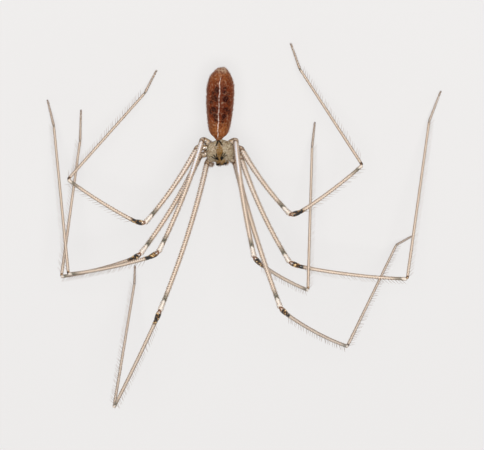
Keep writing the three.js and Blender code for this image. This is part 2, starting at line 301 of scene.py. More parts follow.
def make_object(name: str, shape: Shape, material: bpy.types.Material) -> bpy.types.Object:
    """Makes a smooth-shaded object from a shape.

    Args:
        name: The object's name.
        shape: Its mesh in millimetres.
        material: Its only material.

    Returns:
        The new object, linked to the scene.
    """
    mesh = bpy.data.meshes.new(name)
    corners = np.concatenate([shape.quads.ravel(), shape.triangles.ravel()]).astype(np.int32)
    sizes = np.concatenate([np.full(len(shape.quads), 4), np.full(len(shape.triangles), 3)])
    mesh.vertices.add(len(shape.points))
    mesh.vertices.foreach_set("co", (shape.points * MM).astype(np.float32).ravel())
    mesh.loops.add(len(corners))
    mesh.loops.foreach_set("vertex_index", corners)
    mesh.polygons.add(len(sizes))
    mesh.polygons.foreach_set("loop_start", (np.cumsum(sizes) - sizes).astype(np.int32))
    mesh.update(calc_edges=True)
    mesh.polygons.foreach_set("use_smooth", np.ones(len(sizes), bool))
    for mark, values in shape.marks.items():
        layer = mesh.attributes.new(mark, "FLOAT", "POINT")
        layer.data.foreach_set("value", values.astype(np.float32))
    if shape.corners is not None:
        layer = mesh.uv_layers.new(name=BAKE_MAP)
        layer.uv.foreach_set("vector", shape.corners.astype(np.float32).ravel())
    mesh.materials.append(material)
    mesh.validate()
    made = bpy.data.objects.new(name, mesh)
    bpy.context.scene.collection.objects.link(made)
    return made


def add_piece(
    name: str, shape: Shape, material: bpy.types.Material, replaces: Sequence[str] = (),
) -> bpy.types.Object:
    """Makes a piece of the spider, hangs it on the body, and hides the solids that it stands for.

    Args:
        name: The piece's name.
        shape: Its mesh in millimetres.
        material: Its material.
        replaces: The solids' nodes that it stands for.

    Returns:
        The piece.
    """
    piece = make_object(name, shape, material)
    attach(piece, BODY)
    if replaces:
        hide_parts(*replaces)
    LOG.info("%s: %d faces", name, len(shape.quads) + len(shape.triangles))
    return piece


@dataclass
class Line:
    """Stations along a limb's middle, with two directions square to it at each."""

    points: Array
    tangents: Array
    normals: Array
    binormals: Array

    @staticmethod
    def through(points: Array, up: Sequence[float] = (0.0, 0.0, 1.0)) -> "Line":
        """Carries a pair of square directions along a line without twist.

        Args:
            points: The line's stations.
            up: What the first normal leans towards.

        Returns:
            The line with its directions.
        """
        tangents = unit(np.gradient(points, axis=0))
        normals = np.zeros_like(points)
        normal = np.array(up, float)
        for i, tangent in enumerate(tangents):
            normal = unit(normal - tangent * (normal @ tangent))
            normals[i] = normal
        return Line(points, tangents, normals, np.cross(tangents, normals))

    @staticmethod
    def facing(points: Array, way: Sequence[float]) -> "Line":
        """Turns the first of each station's square directions towards one way.

        Args:
            points: The line's stations.
            way: What every first direction leans towards.

        Returns:
            The line with its directions.
        """
        tangents = unit(np.gradient(points, axis=0))
        normals = unit(np.array(way) - tangents * (tangents @ np.array(way))[:, None])
        return Line(points, tangents, normals, np.cross(tangents, normals))

    def outward(self, station: Array, angle: Array) -> Array:
        """Points away from the line at an angle around it.

        Args:
            station: The stations' numbers.
            angle: The angle around the line at each, in radians.

        Returns:
            One unit vector for each.
        """
        return (
            self.normals[station] * np.cos(angle)[..., None]
            + self.binormals[station] * np.sin(angle)[..., None]
        )

    def lengths(self) -> Array:
        """Distance of each station from the first, along the line."""
        steps = np.linalg.norm(np.diff(self.points, axis=0), axis=1)
        return np.concatenate([[0.0], np.cumsum(steps)])


@dataclass(frozen=True)
class Unrolled:
    """The bake map of a tube: its skin unrolled and cut into rows, one above the other."""

    rows: int = 7
    fill: float = 0.94

    def places(self, share: Array, row: Array, around: Array) -> Array:
        """Finds places on the map.

        Args:
            share: How far along the whole tube, 0 to 1.
            row: The row that the place is drawn in.
            around: How far around the tube, 0 to 1.

        Returns:
            The map's two coordinates of each place.
        """
        across = (share * self.rows - row) * self.fill + (1 - self.fill) / 3
        up = (row + (1 - self.fill) / 2 + around * self.fill) / self.rows
        return np.stack([across, up], axis=-1)

    def row_of(self, share: Array) -> Array:
        """The row that holds each place along the tube."""
        return np.minimum((share * self.rows).astype(int), self.rows - 1)


def tube(line: Line, radii: Array, around: int, layout: Unrolled = Unrolled()) -> Shape:
    """Skins a limb with rings, closed at both ends.

    Args:
        line: The limb's middle line.
        radii: The skin's radius at each station, or at each station and angle.
        around: How many sides each ring has.
        layout: The bake map's layout.

    Returns:
        The skin, with the marks station and turn.
    """
    count = len(line.points)
    turn = np.arange(around) / around
    station = np.repeat(np.arange(count), around)
    angle = np.tile(turn * math.tau, count)
    wide = radii.ravel() if radii.ndim == 2 else np.repeat(radii, around)
    rings = line.points[station] + line.outward(station, angle) * wide[:, None]
    points = np.vstack([rings, line.points[:1], line.points[-1:]])

    ring, side = np.meshgrid(np.arange(count - 1), np.arange(around), indexing="ij")
    ring, side = ring.ravel(), side.ravel()
    after = (side + 1) % around
    quads = np.stack([
        ring * around + side, ring * around + after,
        (ring + 1) * around + after, (ring + 1) * around + side,
    ], axis=1)
    sides = np.arange(around)
    low_pole, high_pole = count * around, count * around + 1
    last = (count - 1) * around
    low = np.stack([np.full(around, low_pole), (sides + 1) % around, sides], axis=1)
    high = np.stack([np.full(around, high_pole), last + sides, last + (sides + 1) % around], axis=1)

    share = line.lengths() / line.lengths()[-1]
    row = layout.row_of(share[ring])
    corner_share = np.stack([share[ring], share[ring], share[ring + 1], share[ring + 1]], axis=1)
    corner_turn = np.stack([side, side + 1, side + 1, side], axis=1) / around
    quad_places = layout.places(corner_share, row[:, None], corner_turn)
    ends = []
    for end_share, faces in ((0.0, low), (1.0, high)):
        shares = np.full((len(faces), 3), end_share)
        turns = np.stack([sides + 0.5, sides + 1, sides], axis=1) / around
        ends.append(layout.places(shares, layout.row_of(shares), turns).reshape(-1, 2))
    corners = np.vstack([quad_places.reshape(-1, 2), *ends])
    marks = {
        "station": np.concatenate([station, [0, count - 1]]).astype(float),
        "turn": np.concatenate([np.tile(turn, count), [0.0, 0.0]]),
    }
    return Shape(points, quads, np.vstack([low, high]), marks, corners)


# Distance fields, which join soft forms without a seam

def soft_join(a: Array, b: Array, blend: float) -> Array:
    """Joins the values of two distance fields with a fillet as wide as blend."""
    share = np.clip(0.5 + 0.5 * (b - a) / blend, 0.0, 1.0)
    return b + (a - b) * share - blend * share * (1.0 - share)


def ball(p: Array, centre: Sequence[float], radii: Sequence[float] | Array) -> Array:
    """Distance to an ellipsoid, near enough for modelling.

    Args:
        p: The points.
        centre: The ellipsoid's centre.
        radii: Its three half axes, the same for all points or three for each.

    Returns:
        The distance of each point, negative inside.
    """
    local = p - np.array(centre)
    size = np.array(radii)
    near = np.linalg.norm(local / size, axis=-1)
    slope = np.linalg.norm(local / size**2, axis=-1)
    return near * (near - 1.0) / np.maximum(slope, 1e-9)


def stick(
    p: Array, start: Array | Place, end: Array | Place, start_radius: float, end_radius: float,
) -> Array:
    """Distance to a tapered stick with round ends.

    Args:
        p: The points.
        start: Centre of the first end.
        end: Centre of the second end.
        start_radius: Radius at the first end.
        end_radius: Radius at the second end.

    Returns:
        The distance of each point, negative inside.
    """
    axis = np.array(end, float) - np.array(start, float)
    share = np.clip((p - start) @ axis / (axis @ axis), 0.0, 1.0)
    radius = start_radius + (end_radius - start_radius) * share
    return np.linalg.norm(p - start - share[..., None] * axis, axis=-1) - radius


@dataclass(frozen=True)
class Form:
    """A soft form that joins a skin, or is cut out of it, with a fillet."""

    fillet: float

    def distance(self, p: Array) -> Array:
        """Distance of each point, negative inside."""
        raise NotImplementedError

    def joined(self, skin: Array, p: Array) -> Array:
        """Joins the form to the distances of a skin."""
        return soft_join(skin, self.distance(p), self.fillet)

    def cut(self, skin: Array, p: Array) -> Array:
        """Cuts the form out of the distances of a skin."""
        return -soft_join(-skin, self.distance(p), self.fillet)


@dataclass(frozen=True)
class Lump(Form):
    """An ellipsoid at a [left, forward, above] place."""

    centre: Place
    radii: Place

    def distance(self, p: Array) -> Array:
        """Distance of each point, negative inside."""
        return ball(p, self.centre, self.radii)


@dataclass(frozen=True)
class Rod(Form):
    """A tapered stick between two [left, forward, above] places."""

    start: Place
    end: Place
    start_radius: float
    end_radius: float

    def distance(self, p: Array) -> Array:
        """Distance of each point, negative inside."""
        return stick(p, self.start, self.end, self.start_radius, self.end_radius)


def net_over(
    distance: Callable[[Array], Array], low: Sequence[float], high: Sequence[float], cell: float,
) -> Shape:
    """Lays an even net of quads over the zero surface of a distance field.

    Args:
        distance: The field, which takes points and gives their distances.
        low: The lowest corner of the room that is searched.
        high: The highest corner.
        cell: The size of the net's mesh.

    Returns:
        The net as a shape.
    """
    axes = [np.arange(a, b + cell, cell) for a, b in zip(low, high)]
    grid = np.stack(np.meshgrid(*axes, indexing="ij"), axis=-1)
    inside = distance(grid.reshape(-1, 3)).reshape(grid.shape[:3]) < 0
    wide, long, tall = (n - 1 for n in inside.shape)
    held = sum(
        inside[i:i + wide, j:j + long, k:k + tall].astype(np.int8) for i, j, k in product((0, 1), repeat=3)
    )
    mixed = (held > 0) & (held < 8)
    number = np.full(mixed.shape, -1)
    number[mixed] = np.arange(mixed.sum())
    points = np.array(low) + (np.argwhere(mixed) + 0.5) * cell

    quads = []
    for axis in range(3):
        a, b = (axis + 1) % 3, (axis + 2) % 3
        before = np.take(inside, np.arange(inside.shape[axis] - 1), axis)
        after = np.take(inside, np.arange(1, inside.shape[axis]), axis)
        spots = np.argwhere(before != after)
        spots = spots[(spots[:, a] > 0) & (spots[:, b] > 0)]
        spots = spots[(spots[:, a] < mixed.shape[a]) & (spots[:, b] < mixed.shape[b])]
        ring = []
        for back_a, back_b in ((1, 1), (0, 1), (0, 0), (1, 0)):
            cells = spots.copy()
            cells[:, a] -= back_a
            cells[:, b] -= back_b
            ring.append(number[tuple(cells.T)])
        quad = np.stack(ring, axis=1)
        leaving = inside[tuple(spots.T)]
        quads.append(np.where(leaving[:, None], quad, quad[:, ::-1]))
    shape = Shape(points, np.vstack(quads))
    settle_net(shape, distance, cell)
    return shape


def settle_net(shape: Shape, distance: Callable[[Array], Array], cell: float) -> None:
    """Evens out a net and draws it onto the field's surface.

    Args:
        shape: The net, whose points are moved.
        distance: The field.
        cell: The size of the net's mesh, which caps each move.
    """
    edges = np.vstack([shape.quads[:, [i, (i + 1) % 4]] for i in range(4)])
    step = cell * 0.1
    for spread in (0.5, 0.5, 0.5, 0.0):
        total = np.zeros_like(shape.points)
        count = np.zeros(len(shape.points))
        np.add.at(total, edges[:, 0], shape.points[edges[:, 1]])
        np.add.at(count, edges[:, 0], 1)
        mean = total / np.maximum(count, 1)[:, None]
        shape.points += (mean - shape.points) * spread
        for _ in range(2):
            value = distance(shape.points)
            slope = np.stack([
                (distance(shape.points + np.eye(3)[i] * step) - value) / step for i in range(3)
            ], axis=1)
            move = -value / np.maximum((slope**2).sum(axis=1), 0.05)
            shape.points += slope * np.clip(move, -cell, cell)[:, None]


# Shaders

class Value:
    """An output socket that arithmetic can be written on."""

    def __init__(self, shader: "Shader", socket: bpy.types.NodeSocket) -> None:
        """Wraps a socket of a shader."""
        self.shader = shader
        self.socket = socket

    def _math(self, operation: str, *values: "Value | float") -> "Value":
        """Adds a Math node over values."""
        sockets = dict(enumerate(values))
        return self.shader.node("ShaderNodeMath", {"operation": operation}, sockets)

    def __add__(self, other: "Value | float") -> "Value":
        """Adds."""
        return self._math("ADD", self, other)

    def __radd__(self, other: "Value | float") -> "Value":
        """Adds, from the right."""
        return self._math("ADD", other, self)

    def __sub__(self, other: "Value | float") -> "Value":
        """Subtracts."""
        return self._math("SUBTRACT", self, other)

    def __rsub__(self, other: "Value | float") -> "Value":
        """Subtracts from a number."""
        return self._math("SUBTRACT", other, self)

    def __mul__(self, other: "Value | float") -> "Value":
        """Multiplies."""
        return self._math("MULTIPLY", self, other)

    def __rmul__(self, other: "Value | float") -> "Value":
        """Multiplies, from the right."""
        return self._math("MULTIPLY", other, self)

    def sine(self) -> "Value":
        """Takes the sine."""
        return self._math("SINE", self)

    def rising(self, low: float, high: float) -> "Value":
        """Rises smoothly from 0 at low to 1 at high."""
        settings = {"interpolation_type": "SMOOTHSTEP", "clamp": True}
        return self.shader.node("ShaderNodeMapRange", settings, {"Value": self, 1: low, 2: high})


def paint(colour: Colour) -> tuple[float, float, float, float]:
    """Turns a colour into the shader's linear one.

    Args:
        colour: Red, green and blue, 0 to 255.

    Returns:
        The colour with its alpha, 0 to 1.
    """
    def linear(channel: int) -> float:
        """Undoes the display curve of one channel."""
        share = channel / 255
        return share / 12.92 if share <= 0.04045 else ((share + 0.055) / 1.055) ** 2.4

    red, green, blue = (linear(channel) for channel in colour)
    return (red, green, blue, 1.0)


class Shader:
    """A material's node tree under construction."""

    def __init__(self, name: str) -> None:
        """Starts an empty material.

        Args:
            name: The material's name.
        """
        self.material = bpy.data.materials.new(name)
        self.material.use_nodes = True
        self.tree = self.material.node_tree
        self.tree.nodes.clear()
        self.place = self.node("ShaderNodeTexCoord", output="Object")

    def node(
        self, kind: str, settings: dict | None = None, sockets: dict | None = None,
        output: int | str = 0,
    ) -> Value:
        """Adds a node.

        Args:
            kind: The node's type.
            settings: Its properties, which are set first.
            sockets: Values or links of its inputs, by number or name.
            output: The output that is returned.

        Returns:
            That output, ready for arithmetic.
        """
        made = self.tree.nodes.new(kind)
        for name, value in (settings or {}).items():
            setattr(made, name, value)
        for key, value in (sockets or {}).items():
            if isinstance(value, Value):
                self.tree.links.new(value.socket, made.inputs[key])
            else:
                made.inputs[key].default_value = value
        return Value(self, made.outputs[output])

    def mark(self, name: str) -> Value:
        """Reads one of the mesh's marks."""
        return self.node("ShaderNodeAttribute", {"attribute_name": name}, output="Fac")

    def noise(self, size: float, detail: float) -> Value:
        """Adds a noise from 0 to 1, with its largest clouds of a size in millimetres."""
        sockets = {"Vector": self.place, "Scale": 1 / (size * MM), "Detail": detail}
        return self.node("ShaderNodeTexNoise", {}, sockets)

    def blend(self, factor: Value | float, low: Value | Colour, high: Value | Colour) -> Value:
        """Mixes two colours.

        Args:
            factor: 0 or less for the first colour, 1 or more for the second.
            low: The first colour.
            high: The second colour.

        Returns:
            The mixed colour.
        """
        pair = [c if isinstance(c, Value) else paint(c) for c in (low, high)]
        settings = {"data_type": "RGBA", "clamp_factor": True}
        return self.node("ShaderNodeMix", settings, {0: factor, 6: pair[0], 7: pair[1]}, output=2)

    def wash(
        self, colour: Value, mark: str, tint: Value | Colour, strength: Value | float = 1.0,
    ) -> Value:
        """Lays a tint over a colour where the mesh has a mark, which strength is multiplied with."""
        return self.blend(self.mark(mark) * strength, colour, tint)

    def finish(self, constants: dict, links: dict, height: Value | None = None, rise: float = 0.0) -> None:
        """Adds the surface shader and the output.

        Args:
            constants: Sockets of the surface shader that are the same all over.
            links: Sockets that change over the surface.
            height: The surface's relief, 0 to 1.
            rise: The relief's height in millimetres.
        """
        sockets = dict(constants)
        sockets.update(links)
        if height is not None:
            relief = {"Height": height, "Distance": rise * MM, "Strength": 1.0}
            sockets["Normal"] = self.node("ShaderNodeBump", {}, relief)
        surface = self.node("ShaderNodeBsdfPrincipled", {}, sockets)
        end = self.tree.nodes.new("ShaderNodeOutputMaterial")
        self.tree.links.new(surface.socket, end.inputs["Surface"])


@dataclass(frozen=True)
class LegFinish:
    """Glassy pinkish beige cuticle: rows of dark sockets, rings, clear tips and black knees, with painted
    side shade and painted highlights.
    """

    femur: Colour = (240, 216, 192)
    foot: Colour = (230, 208, 186)
    shade: Colour = (178, 146, 116)
    # Dark brown of the sockets and of the coxae's dots, and also of the painted shade along the legs'
    # sides.
    edge: Colour = (76, 48, 30)
    # Painted highlight along the top of each leg, the side that faces the key lamp.
    core: Colour = (252, 242, 228)
    clear: Colour = (240, 230, 218)
    ring: Colour = (84, 84, 68)
    amber: Colour = (112, 66, 26)
    coxa: Colour = (182, 152, 110)
    black: Colour = (20, 14, 6)
    olive: Colour = (126, 86, 34)
    # Pale specks on the black knees: painted highlights.
    window: Colour = (222, 192, 140)
    # Painted highlight: a bluish white streak along the femora near their roots.
    gleam: Colour = (236, 240, 250)
    roughness: float = 0.22
    socket_step: float = 0.21

    def material(self) -> bpy.types.Material:
        """Builds the material over the leg skin's marks.

        Returns:
            The material.
        """
        shader = Shader("leg_cuticle")
        cloud = shader.noise(0.35, 4.0)
        grain = shader.noise(0.05, 2.0)
        speck = shader.noise(0.13, 2.0)
        patch = shader.noise(0.22, 1.0)
        beat = (shader.mark("along") * (math.tau / self.socket_step) + math.pi / 2).sine()
        sockets = (shader.mark("rows") * beat).rising(0.1, 0.5)
        # Painted shade along the sides of each leg, broken into dashes at the rows of sockets.
        sides = 0.12 + 0.46 * beat.rising(-0.4, 0.4) + 0.3 * grain
        colour = shader.blend(shader.mark("outward"), self.femur, self.foot)
        colour = shader.blend(cloud.rising(0.46, 0.74) * 0.35, colour, self.shade)
        colour = shader.blend(beat.rising(0.0, 0.9) * (0.35 + 0.4 * speck), colour, self.shade)
        colour = shader.blend(sockets * (0.5 + 0.55 * grain), colour, self.edge)
        colour = shader.wash(colour, "coxa", self.coxa)
        colour = shader.wash(colour, "coxa", self.edge, speck.rising(0.46, 0.56))
        colour = shader.wash(colour, "clear", self.clear, 0.7 + 0.4 * speck)
        # Painted highlight: a paler band along the top of each leg.
        colour = shader.wash(colour, "dorsal", self.core, 0.25)
        # Painted shade: the sides darken towards the socket brown.
        colour = shader.wash(colour, "flank", self.edge, sides)
        colour = shader.wash(colour, "ring", self.ring, 0.5 + 0.9 * speck)
        # Painted highlight along the femora, full on the hind legs and faint on the others.
        colour = shader.wash(colour, "gleam", self.gleam, 0.5 + 0.5 * speck)
        colour = shader.wash(colour, "amber", self.amber, 0.5 + speck)
        # Black knees with olive patches and painted highlights.
        knee = shader.blend(patch.rising(0.5, 0.56), self.black, self.olive)
        knee = shader.blend(patch.rising(0.61, 0.66), knee, self.window)
        colour = shader.wash(colour, "black", knee)
        constants = {
            "Subsurface Weight": 0.2, "Subsurface Radius": (1.0, 0.8, 0.65), "Subsurface Scale": 0.00006,
            "Specular IOR Level": 0.6, "Coat Weight": 0.4, "Coat Roughness": 0.08,
        }
        links = {"Base Color": colour, "Roughness": self.roughness + 0.2 * cloud}
        shader.finish(constants, links, grain * 0.6 + sockets * 0.4, 0.006)
        return shader.material


@dataclass(frozen=True)
class BristleFinish:
    """Fine tapered hairs, darkest at their sockets, with paler down between them."""

    name: str
    root: Colour
    tip: Colour
    down: Colour = (214, 190, 166)
    roughness: float = 0.45

    def material(self) -> bpy.types.Material:
        """Builds the material over the hairs' marks rise and downy.

        Returns:
            The material.
        """
        shader = Shader(self.name)
        streak = shader.noise(0.2, 1.0)
        colour = shader.blend(shader.mark("rise") * 1.4 + 0.3 * streak, self.root, self.tip)
        colour = shader.wash(colour, "downy", self.down)
        shader.finish({"Specular IOR Level": 0.4}, {
            "Base Color": colour, "Roughness": self.roughness + 0.1 * streak,
        })
        return shader.material


@dataclass(frozen=True)
class CarapaceFinish:
    """Greenish grey beige shield with an ochre middle and dark fans behind the eyes."""

    shield: Colour = (166, 149, 122)
    mottle: Colour = (116, 98, 72)
    sand: Colour = (200, 188, 168)
    ochre: Colour = (122, 84, 24)
    dark: Colour = (14, 8, 2)
    rim: Colour = (92, 58, 28)
    limb: Colour = (180, 160, 126)
    belly: Colour = (120, 98, 70)

    def material(self) -> bpy.types.Material:
        """Builds the material over the prosoma's marks.

        Returns:
            The material.
        """
        shader = Shader("carapace_cuticle")
        cloud = shader.noise(0.3, 4.0)
        grain = shader.noise(0.045, 2.0)
        sand = shader.noise(0.1, 2.0)
        colour = shader.blend(cloud.rising(0.4, 0.68) * 0.4, self.shield, self.mottle)
        colour = shader.wash(colour, "limb", self.limb)
        colour = shader.blend(sand.rising(0.52, 0.62) * 0.8, colour, self.mottle)
        colour = shader.blend(sand.rising(0.46, 0.36) * 0.7, colour, self.sand)
        colour = shader.wash(colour, "limb", self.rim, sand.rising(0.52, 0.6) * 0.9)
        colour = shader.wash(colour, "belly", self.belly, 0.85)
        colour = shader.wash(colour, "ochre", self.ochre, 0.3 + 1.1 * sand)
        colour = shader.wash(colour, "rim", self.rim, 0.55 + 0.6 * grain)
        colour = shader.wash(colour, "dark", self.dark, 0.7 + 0.7 * grain)
        constants = {
            "Subsurface Weight": 0.22, "Subsurface Radius": (1.0, 0.6, 0.35), "Subsurface Scale": 0.00015,
            "Specular IOR Level": 0.14,
        }
        links = {"Base Color": colour, "Roughness": 0.42 + 0.2 * cloud}
        shader.finish(constants, links, grain * 0.5 + sand * 0.5, 0.02)
        return shader.material


@dataclass(frozen=True)
class AbdomenFinish:
    """Thin reddish brown skin with a white middle line, dark blotches and pale flanks."""

    brown: Colour = (134, 62, 24)
    deep: Colour = (90, 32, 10)
    blotch: Colour = (46, 6, 0)
    ochre: Colour = (158, 100, 54)
    pale: Colour = (190, 164, 138)
    flank: Colour = (158, 120, 100)
    line: Colour = (228, 212, 202)
    plate: Colour = (92, 52, 28)
    line_half: float = 0.046

    def material(self) -> bpy.types.Material:
        """Builds the material over the abdomen's marks.

        Returns:
            The material.
        """
        shader = Shader("abdomen_skin")
        cloud = shader.noise(0.5, 4.0)
        dots = shader.noise(0.2, 2.0)
        speck = shader.noise(0.18, 2.0)
        fine = shader.noise(0.05, 2.0)
        colour = shader.blend(cloud.rising(0.4, 0.66) * 0.7, self.brown, self.deep)
        colour = shader.wash(colour, "heart", self.deep, 0.4 + 0.7 * speck)
        colour = shader.wash(colour, "ochre", self.ochre, 0.3 + 0.9 * speck)
        colour = shader.wash(colour, "pale", self.pale, 0.3 + speck)
        colour = shader.wash(colour, "flank", self.flank, 0.15 + 1.1 * dots)
        colour = shader.blend(speck.rising(0.48, 0.38) * 0.7, colour, self.deep)
        colour = shader.blend(speck.rising(0.57, 0.68) * 0.32, colour, self.pale)
        colour = shader.wash(colour, "blotch", self.blotch, 0.35 + 0.9 * dots.rising(0.42, 0.5))
        aside = shader.mark("aside")
        near = 1.0 - aside * aside * (1 / self.line_half**2)
        colour = shader.wash(colour, "line", self.line, near * (0.3 + 0.7 * speck.rising(0.4, 0.54)))
        colour = shader.wash(colour, "plate", self.plate)
        constants = {
            "Subsurface Weight": 0.1, "Subsurface Radius": (1.0, 0.4, 0.25), "Subsurface Scale": 0.00015,
            "Specular IOR Level": 0.12,
        }
        links = {"Base Color": colour, "Roughness": 0.48 + 0.22 * speck}
        shader.finish(constants, links, fine * 0.5 + speck * 0.5, 0.02)
        return shader.material


@dataclass(frozen=True)
class HornFinish:
    """Hard parts with a dark end: jaws, fangs, claws and spinnerets."""

    name: str
    base: Colour
    end: Colour
    roughness: float = 0.28

    def material(self) -> bpy.types.Material:
        """Builds the material over the rise mark, which is 1 at the end.

        Returns:
            The material.
        """
        shader = Shader(self.name)
        cloud = shader.noise(0.12, 3.0)
        fine = shader.noise(0.03, 2.0)
        colour = shader.blend(shader.mark("rise") + 0.35 * cloud - 0.17, self.base, self.end)
        constants = {"Specular IOR Level": 0.55, "Subsurface Weight": 0.12, "Subsurface Scale": 0.00012}
        links = {"Base Color": colour, "Roughness": self.roughness + 0.2 * cloud}
        shader.finish(constants, links, fine, 0.006)
        return shader.material


@dataclass(frozen=True)
class EyeFinish:
    """Black glossy lenses with a faint brown depth."""

    lens: Colour = (8, 6, 4)
    depth: Colour = (34, 20, 10)

    def material(self) -> bpy.types.Material:
        """Builds the material.

        Returns:
            The material.
        """
        shader = Shader("eye_lens")
        cloud = shader.noise(0.08, 2.0)
        colour = shader.blend(cloud.rising(0.45, 0.8), self.lens, self.depth)
        constants = {"Specular IOR Level": 0.4, "Coat Weight": 0.2, "Coat Roughness": 0.03}
        shader.finish(constants, {"Base Color": colour, "Roughness": 0.06 + 0.05 * cloud})
        return shader.material


@dataclass(frozen=True)
class FloorFinish:
    """Plain pale floor, lit a little from below, so that thin legs cast only faint shadows."""

    tone: Colour = (137, 136, 135)
    shade: Colour = (133, 132, 131)
    glow: float = 0.61
    glow_tone: Colour = (254, 252, 251)

    def material(self) -> bpy.types.Material:
        """Builds the material.

        Returns:
            The material.
        """
        shader = Shader("pale_floor")
        cloud = shader.noise(40.0, 2.0)
        constants = {
            "Roughness": 0.95, "Specular IOR Level": 0.1, "Emission Color": paint(self.glow_tone),
            "Emission Strength": self.glow,
        }
        shader.finish(constants, {"Base Color": shader.blend(cloud, self.tone, self.shade)})
        return shader.material


# Hair

@dataclass(frozen=True)
class HairKind:
    """One kind of hair. Lengths are in millimetres, angles in degrees from the skin.

    rings holds shares of the length and the width at each, but the first ring lies in the skin
    and is as wide as the socket.
    """

    length: float
    varied: float
    thick: float
    lean: float
    sweep: float
    socket: float = 1.0
    rings: Knots = ((-0.04, 1.0), (0.07, 1.0), (0.4, 0.8), (0.75, 0.5))
    stray: float = 0.35
    unruly: float = 0.3
    downy: float = 0.0
    droop: float = 0.3
    sides: int = 3
    lowest: float = 0.012

    def faces(self, count: int) -> tuple[Array, Array]:
        """Numbers the corners of the hairs' faces.

        Args:
            count: How many hairs there are.

        Returns:
            The quads along the hairs and the triangles of their tips.
        """
        side = np.arange(self.sides)
        after = (side + 1) % self.sides
        top = (len(self.rings) - 1) * self.sides
        low = np.arange(0, top, self.sides)[:, None]
        high = low + self.sides
        quad = np.stack([low + side, low + after, high + after, high + side], axis=-1).reshape(-1, 4)
        tip = np.stack([top + side, top + after, np.full(self.sides, top + self.sides)], axis=-1)
        start = (np.arange(count) * (top + self.sides + 1))[:, None, None]
        return (quad + start).reshape(-1, 4), (tip + start).reshape(-1, 3)

    def grow(
        self, roots: Array, outs: Array, lies: Array, places: Array, chance: np.random.Generator,
    ) -> Shape:
        """Grows one hair at each root.

        Args:
            roots: Where the hairs stand on the skin.
            outs: The skin's outward direction at each.
            lies: The direction along the skin that each leans towards.
            places: The roots' places on the skin's bake map.
            chance: The source of the hairs' variation.

        Returns:
            The hairs as one shape, with the marks rise, 0 at a root and 1 at a tip, and downy.
        """
        count = len(roots)
        length = self.length * (1 + self.varied * (chance.random(count) * 2 - 1))
        lean = np.radians(self.lean * (1 + self.unruly * (chance.random(count) * 2 - 1)))[:, None]
        lies = unit(lies - outs * (lies * outs).sum(axis=1, keepdims=True))
        way = unit(lies * np.cos(lean) + outs * np.sin(lean))
        across = unit(np.cross(way, outs))
        way = unit(way + across * (chance.random((count, 1)) - 0.5) * self.stray)
        across = unit(np.cross(way, outs))
        upward = np.cross(across, way)
        bend = lies * self.sweep - outs * self.sweep * self.droop

        shares = [*(share for share, _ in self.rings), 1.0]
        widths = [self.socket, *(wide for _, wide in self.rings[1:]), 0.0]
        angles = np.arange(self.sides) * math.tau / self.sides
        rows, rises, spots = [], [], []
        for share, wide in zip(shares, widths):
            middle = roots + (way * share + bend * share * abs(share)) * length[:, None]
            for angle in angles if wide else angles[:1]:
                cosine, sine = math.cos(angle), math.sin(angle)
                rows.append(middle + (across * cosine + upward * sine) * (wide * self.thick))
                rises.append(np.full(count, max(share, 0.0)))
                spots.append(places + np.array([cosine, sine + share * 2 - 1]) * HAIR_PATCH / 4)
        points = np.stack(rows, axis=1).reshape(-1, 3)
        points[:, 2] = np.maximum(points[:, 2], self.lowest)
        spots = np.stack(spots, axis=1).reshape(-1, 2)
        quads, tips = self.faces(count)
        corners = np.vstack([spots[quads.ravel()], spots[tips.ravel()]])
        marks = {"rise": np.stack(rises, axis=1).ravel(), "downy": np.full(len(points), self.downy)}
        return Shape(points, quads, tips, marks, corners)


def scattered(shape: Shape, wanted: Array, count: int, chance: np.random.Generator) -> tuple[Array, Array]:
    """Picks random spots on a skin.

    Args:
        shape: The skin.
        wanted: How much each vertex wants hair, 0 for none.
        count: How many spots to pick.
        chance: The source of the choice.

    Returns:
        The spots and the skin's outward direction at each.
    """
    faces = shape.all_triangles()
    a, b, c = (shape.points[faces[:, i]] for i in range(3))
    area = np.linalg.norm(np.cross(b - a, c - a), axis=1) * wanted[faces].mean(axis=1)
    picked = chance.choice(len(faces), count, p=area / area.sum())
    first, second = chance.random(count), chance.random(count)
    over = first + second > 1
    first[over], second[over] = 1 - first[over], 1 - second[over]
    weight = np.stack([1 - first - second, first, second], axis=1)[:, :, None]
    normals = shape.normals()
    spots = (shape.points[faces[picked]] * weight).sum(axis=1)
    return spots, unit((normals[faces[picked]] * weight).sum(axis=1))


def round_map(points: Array, own: OwnFrame) -> Array:
    """Places points on a bake map that is wrapped round a body's own axes.

    Args:
        points: Points in the row frame.
        own: The body's own frame.

    Returns:
        Each point's longitude and latitude, 0 to 1.
    """
    local = unit(own.inside(points))
    east = np.arctan2(local[:, 0], local[:, 1]) / math.tau + 0.5
    north = np.arcsin(np.clip(local[:, 2], -1, 1)) / math.pi + 0.5
    return 0.02 + 0.96 * np.stack([east, north], axis=1)


def one_way_coat(
    skin: Shape, wanted: Array, count: int, kind: HairKind, lie: Array, own: OwnFrame,
    chance: np.random.Generator,
) -> Shape:
    """Grows hairs at random spots on a skin, all lying one way.

    Args:
        skin: The skin.
        wanted: How much each vertex wants hair, 0 for none.
        count: How many hairs it gets.
        kind: Their kind.
        lie: The way that they lie.
        own: The frame of the body that their bake map is wrapped round.
        chance: The source of their places and variation.

    Returns:
        The hairs as one shape.
    """
    roots, outs = scattered(skin, wanted, count, chance)
    return kind.grow(roots, outs, np.tile(lie, (count, 1)), round_map(roots, own), chance)


# Legs

